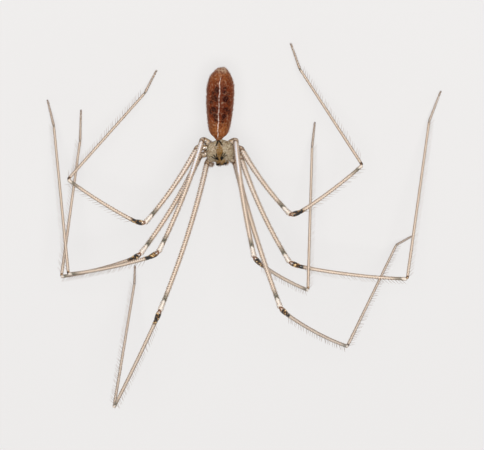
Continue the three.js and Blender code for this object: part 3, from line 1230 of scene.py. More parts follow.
def round_marks(along: Array, turn: Array, pairs: Array | int = 3) -> dict[str, Array]:
    """Marks where a limb's skin has its rows of sockets, its painted side shade and its painted top
    highlight.

    Args:
        along: Millimetres along the whole limb.
        turn: The angle around it from the side that gets the painted highlight, in radians.
        pairs: How many pairs of rows it has.

    Returns:
        The marks along, rows, flank for the painted side shade, and the painted top highlight.
    """
    # flank is where the painted side shade goes, and the last mark is where the painted top highlight goes.
    return {
        "along": along, "rows": np.sin(pairs * turn), "flank": smooth(np.abs(np.sin(turn)), 0.5, 0.96),
        "dorsal": smooth(np.cos(turn), 0.6, 1.0),
    }


@dataclass(frozen=True)
class Limits:
    """The radius of one length of a leg: knots from its start, at its middle and before its end."""

    start: Knots
    middle: float
    end: Knots

    def radius(self, reach: Array, length: Array) -> Array:
        """The skin's radius at each reach along a length.

        Args:
            reach: Millimetres from the start.
            length: The whole length, the same everywhere.

        Returns:
            The radius at each reach.
        """
        whole = float(length[0])
        at = [x for x, _ in self.start] + [whole / 2] + [whole + x for x, _ in self.end]
        wide = [r for _, r in self.start] + [self.middle] + [r for _, r in self.end]
        return np.interp(reach, at, wide)


LEG_LIMITS = {
    Part.COXA: Limits(((0.0, 0.2), (0.2, 0.24)), 0.25, ((-0.22, 0.24), (-0.1, 0.205), (0.0, 0.195))),
    Part.FEMUR: Limits(
        ((0.0, 0.195), (0.06, 0.22), (0.2, 0.23), (0.34, 0.2), (0.42, 0.212), (1.6, 0.2)), 0.175,
        ((-1.4, 0.158), (-0.5, 0.172), (-0.14, 0.208), (-0.05, 0.206), (0.0, 0.14)),
    ),
    Part.PATELLA: Limits(((0.0, 0.14), (0.1, 0.18), (0.24, 0.212)), 0.216, ((-0.12, 0.19), (0.0, 0.15))),
    Part.TIBIA: Limits(
        ((0.0, 0.15), (0.08, 0.172), (0.28, 0.158), (0.8, 0.134)), 0.124,
        ((-0.9, 0.12), (-0.3, 0.13), (-0.1, 0.142), (0.0, 0.096)),
    ),
    Part.METATARSUS: Limits(
        ((0.0, 0.096), (0.08, 0.122), (0.22, 0.118), (0.4, 0.106)), 0.094,
        ((-0.6, 0.085), (-0.12, 0.088), (-0.04, 0.092), (0.0, 0.066)),
    ),
    Part.TARSUS: Limits(
        ((0.0, 0.066), (0.06, 0.08), (0.3, 0.074)), 0.062, ((-0.3, 0.046), (-0.05, 0.034), (0.0, 0.014)),
    ),
}


@dataclass(frozen=True)
class LegRoute:
    """One leg's joints and the bows of its femur and tibia, read from its solids."""

    name: str
    joints: Array
    bows: dict[int, Array]
    gap: float = 0.3
    fine: float = 0.035
    coarse: float = 0.085
    near_joint: float = 0.45
    root_share: float = 0.42
    corners: tuple[float, ...] = (0.16, 0.3, 0.26, 0.2, 0.16)

    @staticmethod
    def read(name: str) -> "LegRoute":
        """Finds a leg's joints from the end faces of its five solids.

        Args:
            name: The start of the solids' names.

        Returns:
            The leg's route.
        """
        ends, bows = [], {}
        for part in list(Part)[1:]:
            points, used = node_points(f"{name}_{part.word}")
            start, end = points[np.argsort(-used)[:2]]
            reach = ends[-1][1] if ends else np.array(PROSOMA_CENTRE)
            if np.linalg.norm(start - reach) > np.linalg.norm(end - reach):
                start, end = end, start
            ends.append((start, end))
            bowed = part in (Part.FEMUR, Part.TIBIA)
            bows[part.value] = bow_of(points, start, end) if bowed else np.zeros(3)
        hip_body = PROSOMA_FRAME.inside(ends[0][0])
        coxa_way = PROSOMA_FRAME.turned(unit(np.array([hip_body[0], hip_body[1], 0.0])))
        rise = [4 * bow for bow in bows.values()]
        starts_along = [unit(end - start + up) for (start, end), up in zip(ends, rise)]
        ends_along = [unit(end - start - up) for (start, end), up in zip(ends, rise)]
        bend = unit(coxa_way + starts_along[0])
        hip = ends[0][0] - starts_along[0] * (LegRoute.gap / 2) / (bend @ starts_along[0])
        joints = [hip]
        for i in range(4):
            both = ends_along[i] + starts_along[i + 1]
            step = (ends[i + 1][0] - ends[i][1]) @ both / (both @ both)
            joints.append(ends[i][1] + ends_along[i] * step)
        joints.append(ends[4][1])
        root = PROSOMA_FRAME.out(drawn_in(PROSOMA_FRAME.inside(hip), LegRoute.root_share))
        return LegRoute(name, np.array([root, *joints]), bows)

    def spaced(self, length: float) -> Array:
        """Spaces reaches along one length, close together near its joints.

        Args:
            length: The length in millimetres.

        Returns:
            The reaches, from 0.
        """
        near = min(self.near_joint, length / 2)
        ends = np.arange(0.0, near, self.fine)
        steps = max(int((length - 2 * near) / self.coarse), 1)
        middle = np.linspace(near, length - near, steps, endpoint=False)
        return np.unique(np.round(np.concatenate([ends, middle, length - ends[1:]]), 5))

    def at(self, part: int, reach: Array) -> Array:
        """Points on one length of the leg, bowed but not yet rounded at its joints.

        Args:
            part: The length's number.
            reach: Millimetres from its start.

        Returns:
            The points.
        """
        start, end = self.joints[part], self.joints[part + 1]
        share = np.atleast_1d(reach)[:, None] / np.linalg.norm(end - start)
        points = start + (end - start) * share
        if part in self.bows:
            points = points + 4 * share * (1 - share) * self.bows[part]
        return points

    def stations(self) -> tuple[Array, Array, Array, Array]:
        """Follows the whole leg with rounded corners.

        Returns:
            The stations, the number of the length each lies on, its reach, and that length.
        """
        lengths = np.linalg.norm(np.diff(self.joints, axis=0), axis=1)
        points, parts, reaches = [], [], []
        last = len(lengths) - 1
        for part, length in enumerate(lengths):
            reach = self.spaced(length)
            if part == last:
                reach = np.append(reach, length)
            place = self.at(part, reach)
            if part > 0:
                cut = self.corners[part - 1]
                near = reach < cut
                place[near] = self.rounded(part - 1, lengths, cut, 0.5 + reach[near] / cut / 2)
            if part < last:
                cut = self.corners[part]
                near = length - reach < cut
                place[near] = self.rounded(part, lengths, cut, 0.5 - (length - reach[near]) / cut / 2)
            points.append(place)
            parts.append(np.full(len(reach), part))
            reaches.append(reach)
        part = np.concatenate(parts)
        return np.vstack(points), part, np.concatenate(reaches), lengths[part]

    def rounded(self, part: int, lengths: Array, cut: float, share: Array) -> Array:
        """Rounds the corner at the end of one length.

        Args:
            part: The length's number.
            lengths: All lengths.
            cut: How far from the joint the rounding starts and ends.
            share: Places on the rounding, 0 to 1.

        Returns:
            Points on the rounding.
        """
        before = self.at(part, np.array([lengths[part] - cut]))
        after = self.at(part + 1, np.array([cut]))
        t = share[:, None]
        return (1 - t) ** 2 * before + 2 * t * (1 - t) * self.joints[part + 1] + t**2 * after


def node_points(name: str) -> tuple[Array, Array]:
    """Reads a solid's vertices, merged.

    Args:
        name: The solid's node.

    Returns:
        The vertices in millimetres, and how many triangle corners use each.
    """
    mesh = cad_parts[name].data
    mesh.calc_loop_triangles()
    points = np.zeros(len(mesh.vertices) * 3, np.float32)
    mesh.vertices.foreach_get("co", points)
    corners = np.zeros(len(mesh.loop_triangles) * 3, np.int32)
    mesh.loop_triangles.foreach_get("vertices", corners)
    rounded = np.round(points.reshape(-1, 3)[corners].astype(float) / MM, 4)
    merged, used = np.unique(rounded, axis=0, return_counts=True)
    return merged, used


def bow_of(points: Array, start: Array, end: Array) -> Array:
    """Finds how far a solid's middle bows from the line between its end faces.

    Args:
        points: The solid's vertices.
        start: The middle of its first end face.
        end: The middle of its last end face.

    Returns:
        The bow as a vector.
    """
    axis = end - start
    share = (points - start) @ axis / (axis @ axis)
    height = 4 * share * (1 - share)
    off = points - start - share[:, None] * axis
    return (off * height[:, None]).sum(axis=0) / (height**2).sum()


@dataclass
class Leg:
    """One leg's skin, bristles and claws."""

    name: str
    skin_material: bpy.types.Material
    bristle_material: bpy.types.Material
    claw_material: bpy.types.Material
    sides: int = 24
    # The way that the painted top highlight faces: up and towards the tail, as the camera and the key lamp
    # do. The painted side shade lies square to it, and the rows of sockets and hairs are set around from
    # it.
    back_faces: Place = (0.0, 0.62, 0.79)
    ring_wave: float = 0.05
    false_joint_step: float = 0.17
    false_joint_rise: float = 0.035
    # How strong the painted highlight on the femora is, on the hind legs and on the others.
    hind_gleam: float = 1.0
    other_gleam: float = 0.25
    bare_start: float = 0.22
    bare_end: float = 0.16
    thigh_rows: int = 6
    shank_rows: int = 4
    row_step: float = LegFinish.socket_step
    bristle: HairKind = HairKind(0.22, 0.12, 0.009, 22.0, 0.08, socket=3.2, stray=0.12)
    comb_row: ClassVar[dict[str, int]] = {Side.LEFT.word: 0, Side.RIGHT.word: 1}
    comb_step: float = 0.3
    long_hair: HairKind = HairKind(
        0.56, 0.06, 0.0135, 41.0, 0.06, socket=1.5, stray=0.06, unruly=0.07,
        rings=((-0.04, 1.0), (0.07, 1.0), (0.5, 0.85), (0.85, 0.5)),
    )
    down_rows: int = 10
    down_step: float = 0.13
    down: HairKind = HairKind(
        0.13, 0.3, 0.006, 20.0, 0.1, socket=1.4, rings=((-0.04, 1.0), (0.5, 0.75)), downy=1.0,
    )
    foot_rows: int = 8
    foot_step: float = 0.045
    foot_hair: HairKind = HairKind(0.13, 0.25, 0.006, 30.0, 0.1, socket=1.2)
    claw_length: float = 0.14
    claw_radius: float = 0.018

    def build(self, seed: int) -> None:
        """Builds and adds the leg's pieces.

        Args:
            seed: Start of the leg's own random draws.
        """
        route = LegRoute.read(self.name)
        points, part, reach, length = route.stations()
        line = Line.facing(points, self.back_faces)
        radii = self.radii(part, reach, length)
        skin = tube(line, radii, self.sides)
        self.lift(skin)
        self.marks(skin, line.lengths(), part, reach, length)
        solids = [f"{self.name}_{p.word}" for p in list(Part)[1:]]
        add_piece(f"skin_{self.name}", skin, self.skin_material, solids)
        chance = np.random.default_rng(seed)
        hairs = self.hairs(line, radii, part, reach, length, chance)
        add_piece(f"coat_{self.name}", hairs, self.bristle_material)
        add_piece(f"claws_{self.name}", self.claws(line), self.claw_material)

    def radii(self, part: Array, reach: Array, length: Array) -> Array:
        """Finds the skin's radius, with the false joints of the foot.

        Args:
            part: The length that each station lies on.
            reach: Millimetres from that length's start.
            length: That length.

        Returns:
            The radius at each station.
        """
        radii = np.zeros(len(part))
        for one, limits in LEG_LIMITS.items():
            here = part == one.value
            radii[here] = limits.radius(reach[here], length[here])
        foot = part == Part.TARSUS.value
        waves = np.sin(reach[foot] * math.tau / self.false_joint_step)
        radii[foot] *= 1 + self.false_joint_rise * waves
        return evened(radii, 0.2)

    def lift(self, skin: Shape) -> None:
        """Keeps the foot's skin on the floor."""
        skin.points[:, 2] = np.maximum(skin.points[:, 2], 0.0)

    def marks(self, skin: Shape, along: Array, part: Array, reach: Array, length: Array) -> None:
        """Adds the marks of round_marks, and the painted gleam, outward, coxa, clear, ring, amber and
        black.

        Args:
            skin: The leg's skin, whose marks station and turn are used up.
            along: How far along the whole leg each station is.
            part: The length that each station lies on.
            reach: Millimetres from that length's start.
            length: That length.
        """
        station = skin.marks.pop("station").astype(int)
        turn = skin.marks.pop("turn") * math.tau
        part, length = part[station], length[station]
        wave = self.ring_wave * (np.sin(2 * turn + part) + 0.5 * np.sin(3 * turn + 1.3))
        reach = reach[station] + wave
        pairs = np.where(part >= Part.TIBIA.value, self.shank_rows / 2, self.thigh_rows / 2)
        skin.marks.update(round_marks(along[station], turn, pairs))
        left = length - reach
        coxa, femur, patella, tibia, metatarsus, tarsus = (part == p.value for p in Part)
        shares = np.select(
            [coxa, femur, patella, tibia, metatarsus], [0.0, 0.0, 0.3, 0.45, 0.75], 1.0,
        )
        ring = (
            femur * (window(left, 0.82, 1.62, 0.1) * smooth(left, 1.9, 0.9))
            + tibia * (window(left, 0.42, 1.5, 0.12) * smooth(left, 1.6, 0.45)) * 0.95
            + femur * window(reach, 0.3, 0.42, 0.08) * 0.7
            + metatarsus * window(left, -0.1, 0.16, 0.1) * 0.9
        )
        amber = (
            femur * smooth(left, 0.1, 0.02)
            + patella * smooth(reach, 0.2, 0.06)
            + tibia * smooth(left, 0.1, 0.02)
            + metatarsus * smooth(reach, 0.3, 0.16)
            + femur * window(reach, -0.1, 0.05, 0.08) * 0.9 + femur * window(reach, 0.26, 0.36, 0.06) * 0.9
            + coxa * smooth(left, 0.12, 0.04) * 0.9
        )
        black = (
            patella * smooth(reach, 0.1, 0.22) + tibia * smooth(reach, 0.5, 0.18)
            + metatarsus * smooth(reach, 0.3, 0.12) * 0.85
            + tarsus * smooth(reach, 0.06, 0.01) * 0.8
        )
        # Painted highlight: a narrow streak along each femur's top near its root, on the side that faces
        # the lamp.
        gleam = femur * window(reach, 0.45, 3.6, 0.8) * smooth(np.cos(turn - 0.25), 0.86, 0.97)
        skin.marks["gleam"] = gleam * (self.hind_gleam if "_4_" in self.name else self.other_gleam)
        skin.marks["outward"] = shares
        skin.marks["coxa"] = np.clip(coxa + femur * smooth(reach, 0.5, 0.3), 0, 1)
        skin.marks["clear"] = (
            femur * window(left, 0.05, 0.86, 0.14) + 0.8 * tibia * window(left, 0.02, 0.5, 0.14)
        )
        skin.marks["ring"] = np.clip(ring, 0, 1)
        skin.marks["amber"] = np.clip(amber, 0, 1)
        skin.marks["black"] = np.clip(black, 0, 1)

    def hairs(
        self, line: Line, radii: Array, part: Array, reach: Array, length: Array,
        chance: np.random.Generator,
    ) -> Shape:
        """Grows the leg's hairs: bristles in rows, one comb of long hairs, and down between them.

        Args:
            line: The leg's middle line.
            radii: The skin's radius at each station.
            part: The length that each station lies on.
            reach: Millimetres from that length's start.
            length: That length.
            chance: The source of the hairs' variation.

        Returns:
            All the hairs as one shape.
        """
        lengths = line.lengths()
        left = length - reach
        bare = (part == Part.COXA.value) | (part == Part.PATELLA.value)
        bare = bare | (left < self.bare_end) | (reach < self.bare_start)
        foot = part == Part.TARSUS.value
        thigh = ~bare & (part == Part.FEMUR.value)
        shank = ~bare & ~foot & ~thigh
        comb = self.comb_row[self.name.rsplit("_", 1)[1]]
        layout = Unrolled()
        kinds = []
        for kind, step, count, rows, here in (
            (self.bristle, self.row_step, self.thigh_rows, range(self.thigh_rows), thigh),
            (self.bristle, self.row_step, self.shank_rows, range(self.shank_rows), shank),
            (self.long_hair, self.comb_step, 2, (comb,), shank),
            (self.down, self.down_step, self.down_rows, range(self.down_rows), ~bare & ~foot),
            (self.foot_hair, self.foot_step, self.foot_rows, range(self.foot_rows), foot & (left > 0.05)),
        ):
            for row in rows:
                at = np.arange(lengths[0], lengths[-1], step)
                at = at + (row % 2 / 2 + 0.12 * (chance.random(len(at)) - 0.5)) * step
                station = np.clip(np.searchsorted(lengths, at), 1, len(lengths) - 1)
                station = station[here[station]]
                angle = (row + 0.5 + 0.2 * (chance.random(len(station)) - 0.5)) / count * math.tau
                outs = line.outward(station, angle)
                roots = line.points[station] + outs * radii[station][:, None] * 0.98
                share = lengths[station] / lengths[-1]
                places = layout.places(share, layout.row_of(share), (angle / math.tau) % 1.0)
                kinds.append(kind.grow(roots, outs, line.tangents[station], places, chance))
        return Shape.joined(kinds)

    def claws(self, line: Line) -> Shape:
        """Makes the foot's three small hooked claws.

        Args:
            line: The leg's middle line.

        Returns:
            The claws as one shape.
        """
        foot, way = line.points[-3], line.tangents[-3]
        flat = unit(way * np.array([1.0, 1.0, 0.0]))
        aside = np.array([-flat[1], flat[0], 0.0])
        claws = []
        for spread, reach in ((-0.5, 1.0), (0.0, 0.65), (0.5, 1.0)):
            ahead = unit(flat + aside * spread)
            size = self.claw_length * reach
            knots = [
                foot + aside * spread * 0.03, foot + ahead * size * 0.5 + (0.0, 0.0, 0.02),
                foot + ahead * size,
            ]
            knots[0][2] = max(knots[0][2], 0.03)
            knots[2][2] = self.claw_radius * 0.3
            hook = Line.through(spline(knots, 10))
            wide = np.linspace(self.claw_radius, self.claw_radius * 0.12, 11)
            claw = tube(hook, wide, 8)
            claw.points[:, 2] = np.maximum(claw.points[:, 2], 0.0)
            claw.marks = {"rise": claw.marks["station"] / 10}
            claws.append(claw)
        return Shape.joined(claws)


# Prosoma

@dataclass(frozen=True)
class EyeGroup:
    """The spider's eight eyes, as [left, forward, above] places: two triads and a front pair."""

    outward: float = 0.31
    forward: float = 0.93
    above: float = 0.43
    spread: float = 0.088
    radius: float = 0.08
    front_outward: float = 0.085
    front_forward: float = 1.05
    front_above: float = 0.35
    front_radius: float = 0.048
    domed: float = 0.92
    sunk: float = 0.12
    first_turn: ClassVar[dict[Side, float]] = {Side.LEFT: 90.0, Side.RIGHT: 30.0}

    def places(self) -> list[tuple[str, Array, float]]:
        """Lists the eyes.

        Returns:
            Each eye's name, place and radius.
        """
        found = []
        for side in Side:
            for i in range(3):
                turn = math.radians(self.first_turn[side] + 120 * i)
                place = np.array([
                    side.value * (self.outward + self.spread * math.cos(turn)),
                    self.forward, self.above + self.spread * math.sin(turn),
                ])
                found.append((f"eye_{side.word}_{i + 1}", place, self.radius))
            front = np.array([side.value * self.front_outward, self.front_forward, self.front_above])
            found.append((f"eye_front_{side.word}", front, self.front_radius))
        return found


@dataclass
class Prosoma:
    """The carapace, eye hump, face, mouth, breast plate, coxae and waist, in one skin."""

    skin_material: bpy.types.Material
    eye_material: bpy.types.Material
    hair_material: bpy.types.Material
    hips: list[Array]
    width: float = 2.12
    length: float = 1.86
    dome: float = 0.58
    belly: float = 0.44
    side_lobe: Lump = Lump(0.16, (0.54, -0.04, 0.16), (0.52, 0.72, 0.4))
    corner_aside: float = 0.04
    front_corner: Lump = Lump(0.14, (0.6, 0.38, 0.04), (0.44, 0.44, 0.3))
    brow: Lump = Lump(0.14, (0.0, 0.6, 0.26), (0.3, 0.46, 0.3))
    back_furrow: Rod = Rod(0.14, (0.0, -1.1, 0.56), (0.0, 0.05, 0.74), 0.14, 0.1)
    neck_furrow: Rod = Rod(0.14, (0.16, 0.0, 0.74), (0.6, 0.84, 0.5), 0.08, 0.1)
    eye_mound: Lump = Lump(0.09, (0.29, 0.85, 0.41), (0.16, 0.17, 0.16))
    front_eye_mound: Lump = Lump(0.1, (0.0, 0.95, 0.3), (0.16, 0.12, 0.12))
    face: Lump = Lump(0.14, (0.0, 0.85, -0.1), (0.42, 0.24, 0.42))
    face_rim: Lump = Lump(0.07, (0.0, 0.97, -0.4), (0.36, 0.1, 0.07))
    breast_plate: Lump = Lump(0.05, (0.0, -0.12, -0.44), (0.6, 0.7, 0.19))
    lip: Lump = Lump(0.04, (0.0, 0.62, -0.56), (0.15, 0.13, 0.11))
    mouth_plate: Rod = Rod(0.04, (0.34, 0.52, -0.5), (0.14, 0.86, -0.62), 0.13, 0.1)
    palp_root: Rod = Rod(0.05, (0.42, 0.6, -0.5), (0.86, 1.0, -0.84), 0.19, 0.16)
    waist: Rod = Rod(0.08, (0.0, -0.75, -0.06), (-0.03, -1.2, -0.06), 0.25, 0.2)
    coxa_reach: tuple[float, float] = (0.4, 0.9)
    coxa_radii: tuple[float, float] = (0.25, 0.22)
    coxa_fillet: float = 0.03
    coxae_fillet: float = 0.07
    cell: float = 0.03
    low: Place = (-2.1, -1.6, -1.2)
    high: Place = (2.1, 1.6, 0.95)
    drift: float = 0.13
    fan_root: float = 0.62
    fan_aside: float = 0.06
    fan_rays: float = 21.0
    eyes: EyeGroup = EyeGroup()
    hair: HairKind = HairKind(0.16, 0.3, 0.006, 50.0, 0.15, socket=1.5)
    hair_count: int = 900

    def distance(self, p: Array) -> Array:
        """Distance to the prosoma's skin.

        Args:
            p: Points as [left, forward, above].

        Returns:
            The distance of each point, negative inside.
        """
        head = seen_from_head(p)
        halves = np.concatenate([np.abs(head[..., :1]), head[..., 1:]], axis=-1)
        corners = np.concatenate([np.abs(p[..., :1] - self.corner_aside), p[..., 1:]], axis=-1)
        tall = np.where(head[..., 2] > 0, self.dome, self.belly)
        flat = np.full_like(tall, self.width / 2), np.full_like(tall, self.length / 2)
        form = ball(head, (0.0, 0.0, 0.0), np.stack([*flat, tall], axis=-1))
        form = self.side_lobe.joined(form, halves)
        form = self.front_corner.joined(form, corners)
        form = self.brow.joined(form, head)
        form = self.back_furrow.cut(form, head)
        form = self.neck_furrow.cut(form, halves)
        form = self.eye_mound.joined(form, halves)
        for lump in (self.front_eye_mound, self.face, self.face_rim):
            form = lump.joined(form, head)
        form = soft_join(form, self.coxae(p), self.coxae_fillet)
        for lump in (self.breast_plate, self.lip):
            form = lump.joined(form, head)
        for rod in (self.mouth_plate, self.palp_root):
            form = rod.joined(form, halves)
        return self.waist.joined(form, p)

    def coxae(self, p: Array) -> Array:
        """Finds the distance to the eight coxae, each a short stick out to its hip.

        Args:
            p: Points as [left, forward, above].

        Returns:
            The distance of each point, negative inside.
        """
        nearest = None
        for hip in self.hips:
            root, end = (drawn_in(hip, share) for share in self.coxa_reach)
            one = stick(p, root, end, *self.coxa_radii)
            nearest = one if nearest is None else soft_join(nearest, one, self.coxa_fillet)
        return nearest

    def build(self, seed: int) -> None:
        """Builds and adds the prosoma's pieces.

        Args:
            seed: Start of the hairs' random draws.
        """
        skin = net_over(self.distance, self.low, self.high, self.cell)
        local = skin.points
        self.marks(skin, local)
        wanted = self.hairiness(local)
        skin.points = body_points(local)
        skin.quads = skin.quads[:, ::-1]
        add_piece("skin_prosoma", skin, self.skin_material, ["prosoma"])
        for name, place, radius in self.eyes.places():
            self.eye(name, place, radius)
        chance = np.random.default_rng(seed)
        ahead = PROSOMA_FRAME.turned((0.0, -1.0, -0.2))
        hairs = one_way_coat(skin, wanted, self.hair_count, self.hair, ahead, PROSOMA_FRAME, chance)
        add_piece("coat_prosoma", hairs, self.hair_material)

    def marks(self, skin: Shape, local: Array) -> None:
        """Adds the skin's marks: limb, belly, ochre, rim and dark.

        Args:
            skin: The prosoma's skin.
            local: Its points as [left, forward, above].
        """
        head = seen_from_head(local)
        across, forward, above = head.T
        reach = np.hypot(across / (self.width / 2), forward / (self.length / 2))
        top = smooth(above, -0.16, -0.04)
        under = smooth(above, -0.26, -0.4) * smooth(reach, 0.75, 0.6)
        across = across + self.drift * bell(forward - 0.35, 0.4)
        out = np.abs(across)
        hump = smooth(forward, 0.5, 0.68) * smooth(out, 0.44, 0.3)
        wide = 0.12 + 0.12 * smooth(forward, -0.8, -0.2) - 0.1 * smooth(forward, 0.1, 0.45)
        middle = smooth(out, wide + 0.13, wide - 0.1) * window(forward, -0.8, 1.1, 0.5)
        turn = np.arctan2(out - self.fan_aside, self.fan_root - forward)
        far = np.hypot(out - self.fan_aside, self.fan_root - forward)
        rays = 0.5 + 0.5 * np.cos(turn * self.fan_rays)
        fans = window(far, 0.05, 0.5 + 0.22 * rays, 0.12) * bell(turn - 0.62, 0.44)
        fans = fans * (0.1 + 0.9 * smooth(rays, 0.3, 0.7)) * top
        core = window(far, 0.02, 0.34, 0.1) * bell(turn - 0.56, 0.36) * top
        slant = np.abs(out - (0.02 + (forward + 0.96) * 0.62))
        vee = bell(slant, 0.05) * window(forward, -1.0, -0.6, 0.1) * top
        veins = bell(np.sin(np.arctan2(across, forward) * 5.0), 0.28) * window(reach, 0.45, 0.95, 0.2)
        edge = window(reach, 0.93, 1.02, 0.06) * window(above, -0.2, 0.06, 0.1)
        hips = np.zeros(len(local))
        for hip in self.hips:
            gap = np.linalg.norm(local - drawn_in(hip, self.coxa_reach[1]), axis=1)
            hips = np.maximum(hips, window(gap, 0.14, 0.3, 0.06))
        around_eyes = np.zeros(len(local))
        for _, place, radius in self.eyes.places():
            gap = np.linalg.norm(head - place, axis=1)
            around_eyes = np.maximum(around_eyes, bell(gap / (radius * 1.8), 1.0))
        chin = (head - np.array([0, 1.03, -0.42])) * np.array([0.6, 1, 1.4])
        lip = bell(np.linalg.norm(chin, axis=1), 0.16)
        skin.marks["limb"] = (1 - top) * (1 - under) * smooth(reach, 0.7, 0.85) * (1 - hump)
        skin.marks["belly"] = under
        skin.marks["ochre"] = np.clip(middle * top + hump * smooth(above, -0.5, 0.1), 0, 1)
        skin.marks["rim"] = np.clip(edge + hips * 0.8 + lip * 0.7 + 0.35 * veins * top, 0, 1)
        skin.marks["dark"] = np.clip(fans * 2.0 + core * 2.2 + vee * 2.0 + around_eyes * 2.0, 0, 1)

    def hairiness(self, local: Array) -> Array:
        """Says how much each point of the skin wants hair.

        Args:
            local: The skin's points as [left, forward, above].

        Returns:
            The want of each point.
        """
        across, forward, above = local.T
        face = smooth(forward, 0.4, 0.8)
        under = smooth(above, -0.35, -0.5)
        coxa = smooth(np.hypot(across, forward), 1.0, 1.2) * smooth(above, 0.0, -0.15)
        return 0.06 + face + 0.7 * under + 0.8 * coxa

    def eye(self, name: str, place: Array, radius: float) -> None:
        """Adds one domed lens, a little flattened and sunk in the skin.

        Args:
            name: The eye's name.
            place: Its place on the head.
            radius: Its radius.
        """
        outward = unit(place * np.array([0.9, 1.0, 0.0]) + np.array([0.0, 0.0, 0.55]))
        shares = np.linspace(0, math.pi, 17)
        along = -np.cos(shares) * radius * self.eyes.domed
        wide = np.maximum(np.sin(shares) * radius, radius * 0.02)
        middle = place - outward * radius * self.eyes.sunk
        line = Line.through(middle + outward * along[:, None], (0.3, 0.1, 1.0))
        lens = tube(line, wide, 24)
        points = head_points(lens.points)
        faces = Shape(points, lens.quads[:, ::-1], lens.triangles[:, ::-1])
        add_piece(name, faces, self.eye_material)


# Mouthparts

@dataclass
class Chelicera:
    """One jaw with its fang, hanging below the face."""

    side: Side
    material: bpy.types.Material
    hair_material: bpy.types.Material
    outward: float = 0.29
    forward: float = 1.16
    below: float = 0.6
    length: float = 0.9
    lean: float = 28.0
    fang_radius: float = 0.05
    limits: Knots = (
        (0.0, 0.05), (0.04, 0.12), (0.14, 0.19), (0.35, 0.205), (0.6, 0.185), (0.8, 0.155), (0.94, 0.11),
        (1.0, 0.05),
    )
    steps: int = 36
    fang_steps: int = 14
    hair: HairKind = HairKind(0.14, 0.3, 0.0065, 45.0, 0.15, socket=1.6)
    hair_count: int = 150

    def build(self, seed: int) -> None:
        """Builds and adds the jaw, its fang and its hairs.

        Args:
            seed: Start of the hairs' random draws.
        """
        sign = self.side.value
        lean = math.radians(self.lean)
        down = np.array([0.0, math.sin(lean), -math.cos(lean)])
        top = np.array([sign * self.outward, self.forward, -self.below])
        inward = np.array([-sign * 0.12, 0.0, 0.0])
        knots = [top, top + down * self.length * 0.5 + inward * 0.15, top + down * self.length + inward]
        line = Line.through(head_points(spline(knots, self.steps)))
        share = np.linspace(0, 1, self.steps + 1)
        radii = np.interp(share, *np.array(self.limits).T)
        jaw = tube(line, evened(radii, 0.25), 24)
        station = jaw.marks["station"] / self.steps
        jaw.marks = {"rise": smooth(station, 0.45, 1.0) * 0.9}
        add_piece(f"skin_chelicera_{self.side.word}", jaw, self.material,
                  [f"chelicera_{self.side.word}"])
        tip = knots[2]
        hook = spline([
            tip + down * -0.08, tip + down * 0.06 + inward * 0.5, tip + inward * 1.6 + down * 0.02,
        ], self.fang_steps)
        wide = np.linspace(self.fang_radius, 0.006, self.fang_steps + 1)
        fang = tube(Line.through(head_points(hook)), wide, 12)
        fang.marks = {"rise": 0.6 + 0.4 * fang.marks["station"] / self.fang_steps}
        add_piece(f"fang_{self.side.word}", fang, self.material)
        chance = np.random.default_rng(seed)
        wanted = window(station, 0.15, 0.95, 0.1)
        lie = line.tangents[self.steps // 2]
        hairs = one_way_coat(jaw, wanted, self.hair_count, self.hair, lie, PROSOMA_FRAME, chance)
        add_piece(f"coat_chelicera_{self.side.word}", hairs, self.hair_material)


@dataclass
class Palp:
    """One feeler beside the jaws: a small jointed limb of six parts."""

    side: Side
    material: bpy.types.Material
    hair_material: bpy.types.Material
    outward: float = 0.94
    forward: float = 1.08
    below: float = 0.92
    bends: tuple[Place, ...] = (
        (-0.22, -0.22, 0.12), (-0.02, 0.0, -0.02), (0.02, 0.28, -0.07), (-0.03, 0.46, -0.33),
        (-0.15, 0.47, -0.7),
    )
    joints: tuple[float, ...] = (0.17, 0.26, 0.5, 0.6, 0.74)
    root_radius: float = 0.165
    tip_radius: float = 0.085
    pinch: float = 0.16
    steps: int = 90
    hair: HairKind = HairKind(0.18, 0.3, 0.007, 42.0, 0.12, socket=1.7)
    hair_count: int = 320

    def build(self, seed: int) -> None:
        """Builds and adds the palp and its hairs.

        Args:
            seed: Start of the hairs' random draws.
        """
        knots = [
            [self.side.value * (self.outward + out), self.forward + front, up - self.below]
            for out, front, up in self.bends
        ]
        line = Line.through(head_points(spline(knots, self.steps)))
        share = line.lengths() / line.lengths()[-1]
        radii = self.root_radius + (self.tip_radius - self.root_radius) * share
        rings = np.zeros_like(share)
        for joint in self.joints:
            radii = radii * (1 - self.pinch * bell(share - joint, 0.018))
            radii = radii * (1 + 0.05 * bell(share - joint + 0.04, 0.02))
            rings = np.maximum(rings, bell(share - joint, 0.022))
        radii = radii * np.sqrt(np.clip((1.0 - share) / 0.08, 0.02, 1.0))
        limb = tube(line, radii, 20)
        station = limb.marks["station"].astype(int)
        turn = limb.marks["turn"] * math.tau
        zeros = np.zeros(len(station))
        # The palp takes the leg's marks: painted side shade and a painted top highlight, but no painted
        # streak.
        limb.marks = round_marks(line.lengths()[station], turn) | {
            "outward": share[station], "clear": zeros, "black": zeros, "coxa": zeros, "gleam": zeros,
            "ring": 0.8 * bell(share[station] - 0.45, 0.03) + 0.6 * bell(share[station] - 0.7, 0.03),
            "amber": rings[station] * 0.9,
        }
        add_piece(f"skin_palp_{self.side.word}", limb, self.material,
                  [f"palp_{self.side.word}"])
        chance = np.random.default_rng(seed)
        roots, outs = scattered(limb, 0.3 + share[station], self.hair_count, chance)
        near = np.linalg.norm(roots[:, None] - line.points[None, ::3], axis=2).argmin(axis=1) * 3
        hairs = self.hair.grow(roots, outs, line.tangents[near], round_map(roots, PROSOMA_FRAME), chance)
        add_piece(f"coat_palp_{self.side.word}", hairs, self.hair_material)


# Abdomen

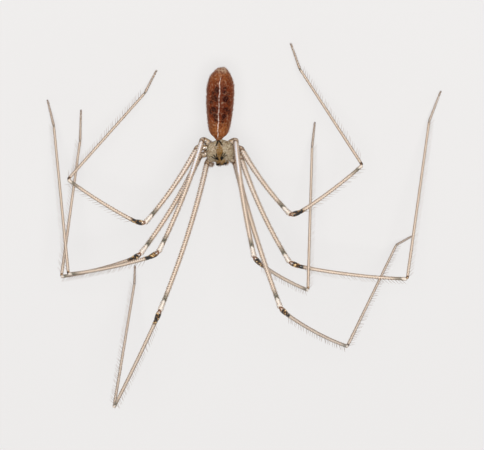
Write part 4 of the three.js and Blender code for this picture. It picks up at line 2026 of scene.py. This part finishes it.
@dataclass
class Abdomen:
    """The long soft hind body with its markings, fine hair and spinnerets."""

    material: bpy.types.Material
    horn_material: bpy.types.Material
    hair_material: bpy.types.Material
    length: float = 5.64
    radius: float = 1.05
    arch: float = 0.14
    nose: float = 0.3
    tip_aside: float = 0.3
    tip_from: float = 0.8
    tip_slant: float = 0.22
    shares: Knots = (
        (0, 0.42), (0.05, 0.655), (0.14, 0.785), (0.28, 0.885), (0.43, 0.965),
        (0.58, 1), (0.72, 0.985), (0.85, 0.835), (0.95, 0.53), (1, 0),
    )
    around: int = 112
    steps: int = 190
    hair: HairKind = HairKind(0.13, 0.35, 0.0055, 42.0, 0.2, socket=1.5)
    hair_count: int = 4500
    blotches: tuple[tuple[float, ...], ...] = (
        (0.34, 4.15, 0.27, 0.34), (0.46, 3.45, 0.34, 0.38), (0.52, 2.5, 0.36, 0.34), (0.4, 2.0, 0.28, 0.28),
        (0.64, 3.8, 0.2, 0.26), (0.3, 1.6, 0.2, 0.24), (0.76, 3.05, 0.2, 0.3), (0.8, 2.3, 0.18, 0.28),
    )
    spinneret_place: Place = (0.0, 4.8, -0.86)
    spinneret_cones: tuple[tuple[float, ...], ...] = (
        (-0.15, -0.1, 0.135, 0.44), (0.15, -0.1, 0.135, 0.44), (-0.17, 0.18, 0.105, 0.36),
        (0.17, 0.18, 0.105, 0.36), (-0.06, 0.07, 0.06, 0.3), (0.06, 0.07, 0.06, 0.3),
    )
    spinneret_hairs: int = 160

    def outline(self) -> tuple[Array, Array]:
        """Follows the side of the hind body.

        Returns:
            Places along it and the radius at each.
        """
        knots = [[self.length * along, self.radius * wide] for along, wide in self.shares]
        knots.insert(0, [-self.nose, self.radius * 0.2])
        curve = spline(knots, self.steps)
        return curve[:, 0], np.maximum(curve[:, 1], 0.004)

    def build(self, seed: int) -> None:
        """Builds and adds the hind body's pieces.

        Args:
            seed: Start of the hairs' random draws.
        """
        along, wide = self.outline()
        line = Line.through(self.middle(along))
        turn = np.arange(self.around) / self.around * math.tau
        skin = tube(line, self.relief(along, wide, turn), self.around, Unrolled(1))
        local = skin.points
        self.marks(skin, local)
        hairy = smooth(local[:, 1], 0.15, 0.5)
        skin.points = ABDOMEN_FRAME.out(local)
        add_piece("skin_abdomen", skin, self.material, ["abdomen"])
        chance = np.random.default_rng(seed)
        roots, outs = scattered(skin, hairy, self.hair_count, chance)
        backward = np.tile(ABDOMEN_FRAME.turned((0.0, 1.0, 0.0)), (len(roots), 1))
        inner = ABDOMEN_FRAME.inside(roots)
        spin = (np.arctan2(inner[:, 0], inner[:, 2]) / math.tau) % 1.0
        places = Unrolled(1).places(np.clip(inner[:, 1] / self.length, 0, 1), np.zeros(len(roots)), spin)
        hairs = self.hair.grow(roots, outs, backward, places, chance)
        add_piece("coat_abdomen", hairs, self.hair_material)
        self.spinnerets(np.random.default_rng(seed + 1))

    def middle(self, along: Array) -> Array:
        """Follows the middle line, arched and with its tip a little to the left.

        Args:
            along: Places along the hind body.

        Returns:
            The line's point at each.
        """
        share = along / self.length
        beyond = np.maximum(share - self.tip_from, 0) / (1 - self.tip_from)
        return np.stack([self.tip_aside * beyond**2, along, self.arch * np.sin(math.pi * share)], axis=1)

    def relief(self, along: Array, wide: Array, turn: Array) -> Array:
        """Shapes the hind body with pits, folds and the plate below.

        Args:
            along: Places along it.
            wide: The outline's radius at each.
            turn: Angles around it.

        Returns:
            The radius at each place and angle.
        """
        up, aside = np.cos(turn)[None, :], np.sin(turn)[None, :]
        place = along[:, None]
        relief = np.repeat(wide[:, None], len(turn), axis=1)
        share = place / self.length
        relief = relief * (1 - 0.02 * np.maximum(up, 0) ** 4)
        relief = relief * (1 - self.tip_slant * np.maximum(-aside, 0) * smooth(share, self.tip_from, 1.0))
        for across, middle, _, _ in self.blotches[:4]:
            angle = across / self.radius
            spin = np.abs(np.arctan2(aside, up))
            relief = relief - 0.028 * bell(spin - angle, 0.1) * bell(place - middle, 0.09)
        folds = np.sin(place * 9.5 + 1.2 * np.sin(3 * turn[None, :])) * window(share, 0.12, 0.9, 0.1)
        relief = relief + 0.006 * folds * smooth(np.abs(aside), 0.3, 0.9)
        plate = bell(place - 1.15, 0.34) * smooth(-up, 0.8, 1.0)
        return relief + 0.09 * plate - 0.05 * bell(place - 1.62, 0.07) * smooth(-up, 0.75, 0.97)

    def marks(self, skin: Shape, local: Array) -> None:
        """Adds the skin's marks: ochre, pale, flank, blotch, heart, aside, line and plate.

        Args:
            skin: The hind body's skin.
            local: Its points in its own frame.
        """
        along = local[:, 1]
        across, _, high = (local - self.middle(along)).T
        out = np.abs(across)
        back = smooth(high, 0.0, 0.5)
        spin = np.arctan2(out, high)
        wander = 0.02 * np.sin(along * 5.0) + 0.012 * np.sin(along * 13.0 + 1.0) - 0.085
        blotch = np.zeros(len(local))
        for middle_out, middle, wide, long in self.blotches:
            far = np.hypot((spin * self.radius - middle_out) / wide, (along - middle) / long)
            blotch = np.maximum(blotch, smooth(far, 1.15, 0.35))
        skin.marks["ochre"] = np.clip(
            0.8 * smooth(along, 1.9, 0.9) + 0.5 * smooth(along, self.length - 1.3, self.length - 0.5), 0, 1,
        )
        skin.marks["pale"] = smooth(along, self.length - 0.42, self.length - 0.04)
        flank = smooth(spin, 1.0, 1.6)
        skin.marks["flank"] = np.clip(flank * smooth(along, 0.1, 0.7) * 0.9, 0, 1)
        skin.marks["blotch"] = blotch * back
        skin.marks["heart"] = bell(across, 0.66) * window(along, 1.6, 4.8, 0.9) * back
        breaks = 0.8 + 0.2 * np.sin(along * 17.0) * np.sin(along * 6.3 + 0.6)
        skin.marks["aside"] = across - wander
        skin.marks["line"] = window(along, 0.1, self.length - 0.55, 0.3) * back * breaks
        plate = bell(np.hypot(across / 0.34, (along - 1.2) / 0.3), 0.9)
        skin.marks["plate"] = plate * smooth(-high, 0.4, 0.7)
        skin.marks.pop("station")
        skin.marks.pop("turn")

    def spinnerets(self, chance: np.random.Generator) -> None:
        """Adds the six spinnerets on their mound, with a few hairs, under the body's end.

        Args:
            chance: The source of the hairs' places and variation.
        """
        middle = np.array(self.spinneret_place)
        pieces = []
        share = np.linspace(0, 1, 25)
        for across, along, wide, long in self.spinneret_cones:
            root = middle + (across, along, 0.1)
            tip = root + (across * 0.25, 0.16, -long - 0.1)
            radii = wide * (1 - 0.45 * share) * np.sqrt(np.clip((1 - share) / 0.14, 0.03, 1))
            radii = radii * (1 - 0.14 * bell(share - 0.52, 0.04))
            cone = self.nub([root, (root + tip) / 2, tip], radii, 18)
            cone.marks = {"rise": smooth(share[cone.marks["station"].astype(int)], 0.3, 1.0)}
            pieces.append(cone)
        share = np.linspace(-1, 1, 29)
        mound_knots = [middle + (0.0, -0.44, 0.16), middle + (0.0, 0.0, -0.02), middle + (0.0, 0.5, 0.14)]
        mound = self.nub(mound_knots, 0.34 * np.sqrt(np.clip(1 - share**2, 0.01, 1)), 28)
        mound.marks = {"rise": np.zeros(len(mound.points))}
        share = np.linspace(0, 1, 17)
        tubercle_knots = [(0.1, 5.2, -0.42), (0.12, 5.34, -0.48), (0.13, 5.46, -0.53)]
        tubercle = self.nub(tubercle_knots, 0.13 * np.sqrt(np.clip(1 - share**2, 0.01, 1)), 18)
        tubercle.marks = {"rise": share[tubercle.marks["station"].astype(int)] * 0.4}
        whole = Shape.joined([*pieces, mound, tubercle])
        whole.corners = None
        add_piece("skin_spinnerets", whole, self.horn_material, ["spinnerets"])
        down = ABDOMEN_FRAME.turned((0.0, 0.4, -1.0))
        wanted = np.ones(len(whole.points))
        hairs = one_way_coat(whole, wanted, self.spinneret_hairs, self.hair, down, ABDOMEN_FRAME, chance)
        add_piece("coat_spinnerets", hairs, self.hair_material)

    def nub(self, knots: Sequence[Sequence[float]], radii: Array, sides: int) -> Shape:
        """Makes a small round form along knots in the hind body's frame, under its end."""
        line = Line.through(ABDOMEN_FRAME.out(spline(knots, len(radii) - 1)))
        return tube(line, radii, sides)


# Studio

@dataclass(frozen=True)
class Lamp:
    """A square soft light that looks at the spider's middle. Lengths are in metres."""

    name: str
    azimuth: float
    elevation: float
    distance: float
    size: float
    power: float


@dataclass
class Studio:
    """The floor, the lights and the camera. Lengths are in metres, aim and the lens in millimetres."""

    floor_half: float = 3.0
    sky: float = 0.34
    sky_tone: Colour = (250, 250, 252)
    lamps: tuple[Lamp, ...] = (
        Lamp("key", 179.0, 54.0, 0.5, 0.14, 2.0),
        Lamp("left_fill", 80.0, 48.0, 0.7, 0.5, 0.3),
        Lamp("right_fill", -70.0, 42.0, 0.7, 0.5, 0.3),
        Lamp("front_fill", 0.0, 38.0, 0.8, 0.5, 0.5),
    )
    lens: float = 247.5
    sensor: float = 36.0
    distance: float = 0.26
    tilt: float = 38.0
    aim: Place = (1.76, -4.56, 3.56)

    def build(self) -> None:
        """Adds the floor, the lights and the camera."""
        self.floor()
        for lamp in self.lamps:
            self.light(lamp)
        self.world()
        self.camera()
        bpy.context.scene.view_settings.view_transform = "Standard"

    def floor(self) -> None:
        """Adds the floor, which isn't part of the spider."""
        half = self.floor_half / MM
        corners = np.array([[-half, -half, 0], [half, -half, 0], [half, half, 0], [-half, half, 0]], float)
        floor = make_object("floor", Shape(corners, np.array([[0, 1, 2, 3]])), FloorFinish().material())

    def light(self, lamp: Lamp) -> None:
        """Adds one soft light.

        Args:
            lamp: Its place, size and power.
        """
        data = bpy.data.lights.new(lamp.name, "AREA")
        data.size = lamp.size
        data.energy = lamp.power
        made = bpy.data.objects.new(lamp.name, data)
        turn, rise = math.radians(lamp.azimuth), math.radians(lamp.elevation)
        away = Vector((
            math.sin(turn) * math.cos(rise), -math.cos(turn) * math.cos(rise), math.sin(rise),
        ))
        made.location = Vector(PROSOMA_CENTRE) * MM + away * lamp.distance
        made.rotation_mode = "QUATERNION"
        made.rotation_quaternion = (-away).to_track_quat("-Z", "Y")
        bpy.context.scene.collection.objects.link(made)

    def world(self) -> None:
        """Lights the room evenly."""
        world = bpy.data.worlds.new("room")
        world.use_nodes = True
        sky = world.node_tree.nodes["Background"]
        sky.inputs["Color"].default_value = paint(self.sky_tone)
        sky.inputs["Strength"].default_value = self.sky
        bpy.context.scene.world = world

    def camera(self) -> None:
        """Sets the camera where the photo was taken from, its top towards the animal's tail."""
        data = bpy.data.cameras.new("camera")
        data.lens = self.lens
        data.sensor_width = self.sensor
        data.clip_start, data.clip_end = 0.001, 20.0
        made = bpy.data.objects.new("camera", data)
        tilt = math.radians(self.tilt)
        back = Vector((0.0, math.sin(tilt), math.cos(tilt)))
        top = Vector((0.0, math.cos(tilt), -math.sin(tilt)))
        prosoma = Vector(PROSOMA_CENTRE) * MM
        eye = prosoma + back * self.distance
        target = prosoma + Vector(self.aim) * MM
        toward = (eye - target).normalized()
        right = top.cross(toward).normalized()
        up = toward.cross(right)
        turn = Matrix((right, up, toward)).transposed()
        made.matrix_world = Matrix.Translation(eye) @ turn.to_4x4()
        bpy.context.scene.collection.objects.link(made)
        bpy.context.scene.camera = made


# Whole spider

LEG_NAMES = tuple(f"leg_{pair}_{side.word}" for pair in (1, 2, 3, 4) for side in Side)


def hips_of(names: Sequence[str]) -> list[Array]:
    """Reads where the legs' hips are.

    Args:
        names: The legs' names.

    Returns:
        Each hip as [left, forward, above] of the prosoma's centre.
    """
    hips = []
    for name in names:
        hip = PROSOMA_FRAME.inside(LegRoute.read(name).joints[1])
        hips.append(hip * np.array([1.0, -1.0, 1.0]))
    return hips


def main() -> None:
    """Builds the spider and its studio in order."""
    logging.basicConfig(level=logging.INFO, format="%(name)s %(message)s")
    Studio().build()
    leg_skin = LegFinish().material()
    bristles = BristleFinish("dark_bristle", (82, 54, 36), (150, 118, 92)).material()
    pale_hair = BristleFinish("pale_hair", (86, 44, 22), (160, 108, 76)).material()
    horn = HornFinish("amber_horn", (182, 136, 84), (84, 42, 20)).material()
    claw = HornFinish("dark_claw", (92, 62, 40), (30, 20, 14)).material()

    hips = hips_of(LEG_NAMES)
    Prosoma(CarapaceFinish().material(), EyeFinish().material(), bristles, hips).build(seed=11)
    for side in Side:
        Chelicera(side, horn, bristles).build(seed=20 + side.value)
        Palp(side, leg_skin, bristles).build(seed=30 + side.value)
    Abdomen(AbdomenFinish().material(), horn, pale_hair).build(seed=41)
    for number, name in enumerate(LEG_NAMES):
        Leg(name, leg_skin, bristles, claw).build(seed=100 + number)


if __name__ == "__main__":
    main()
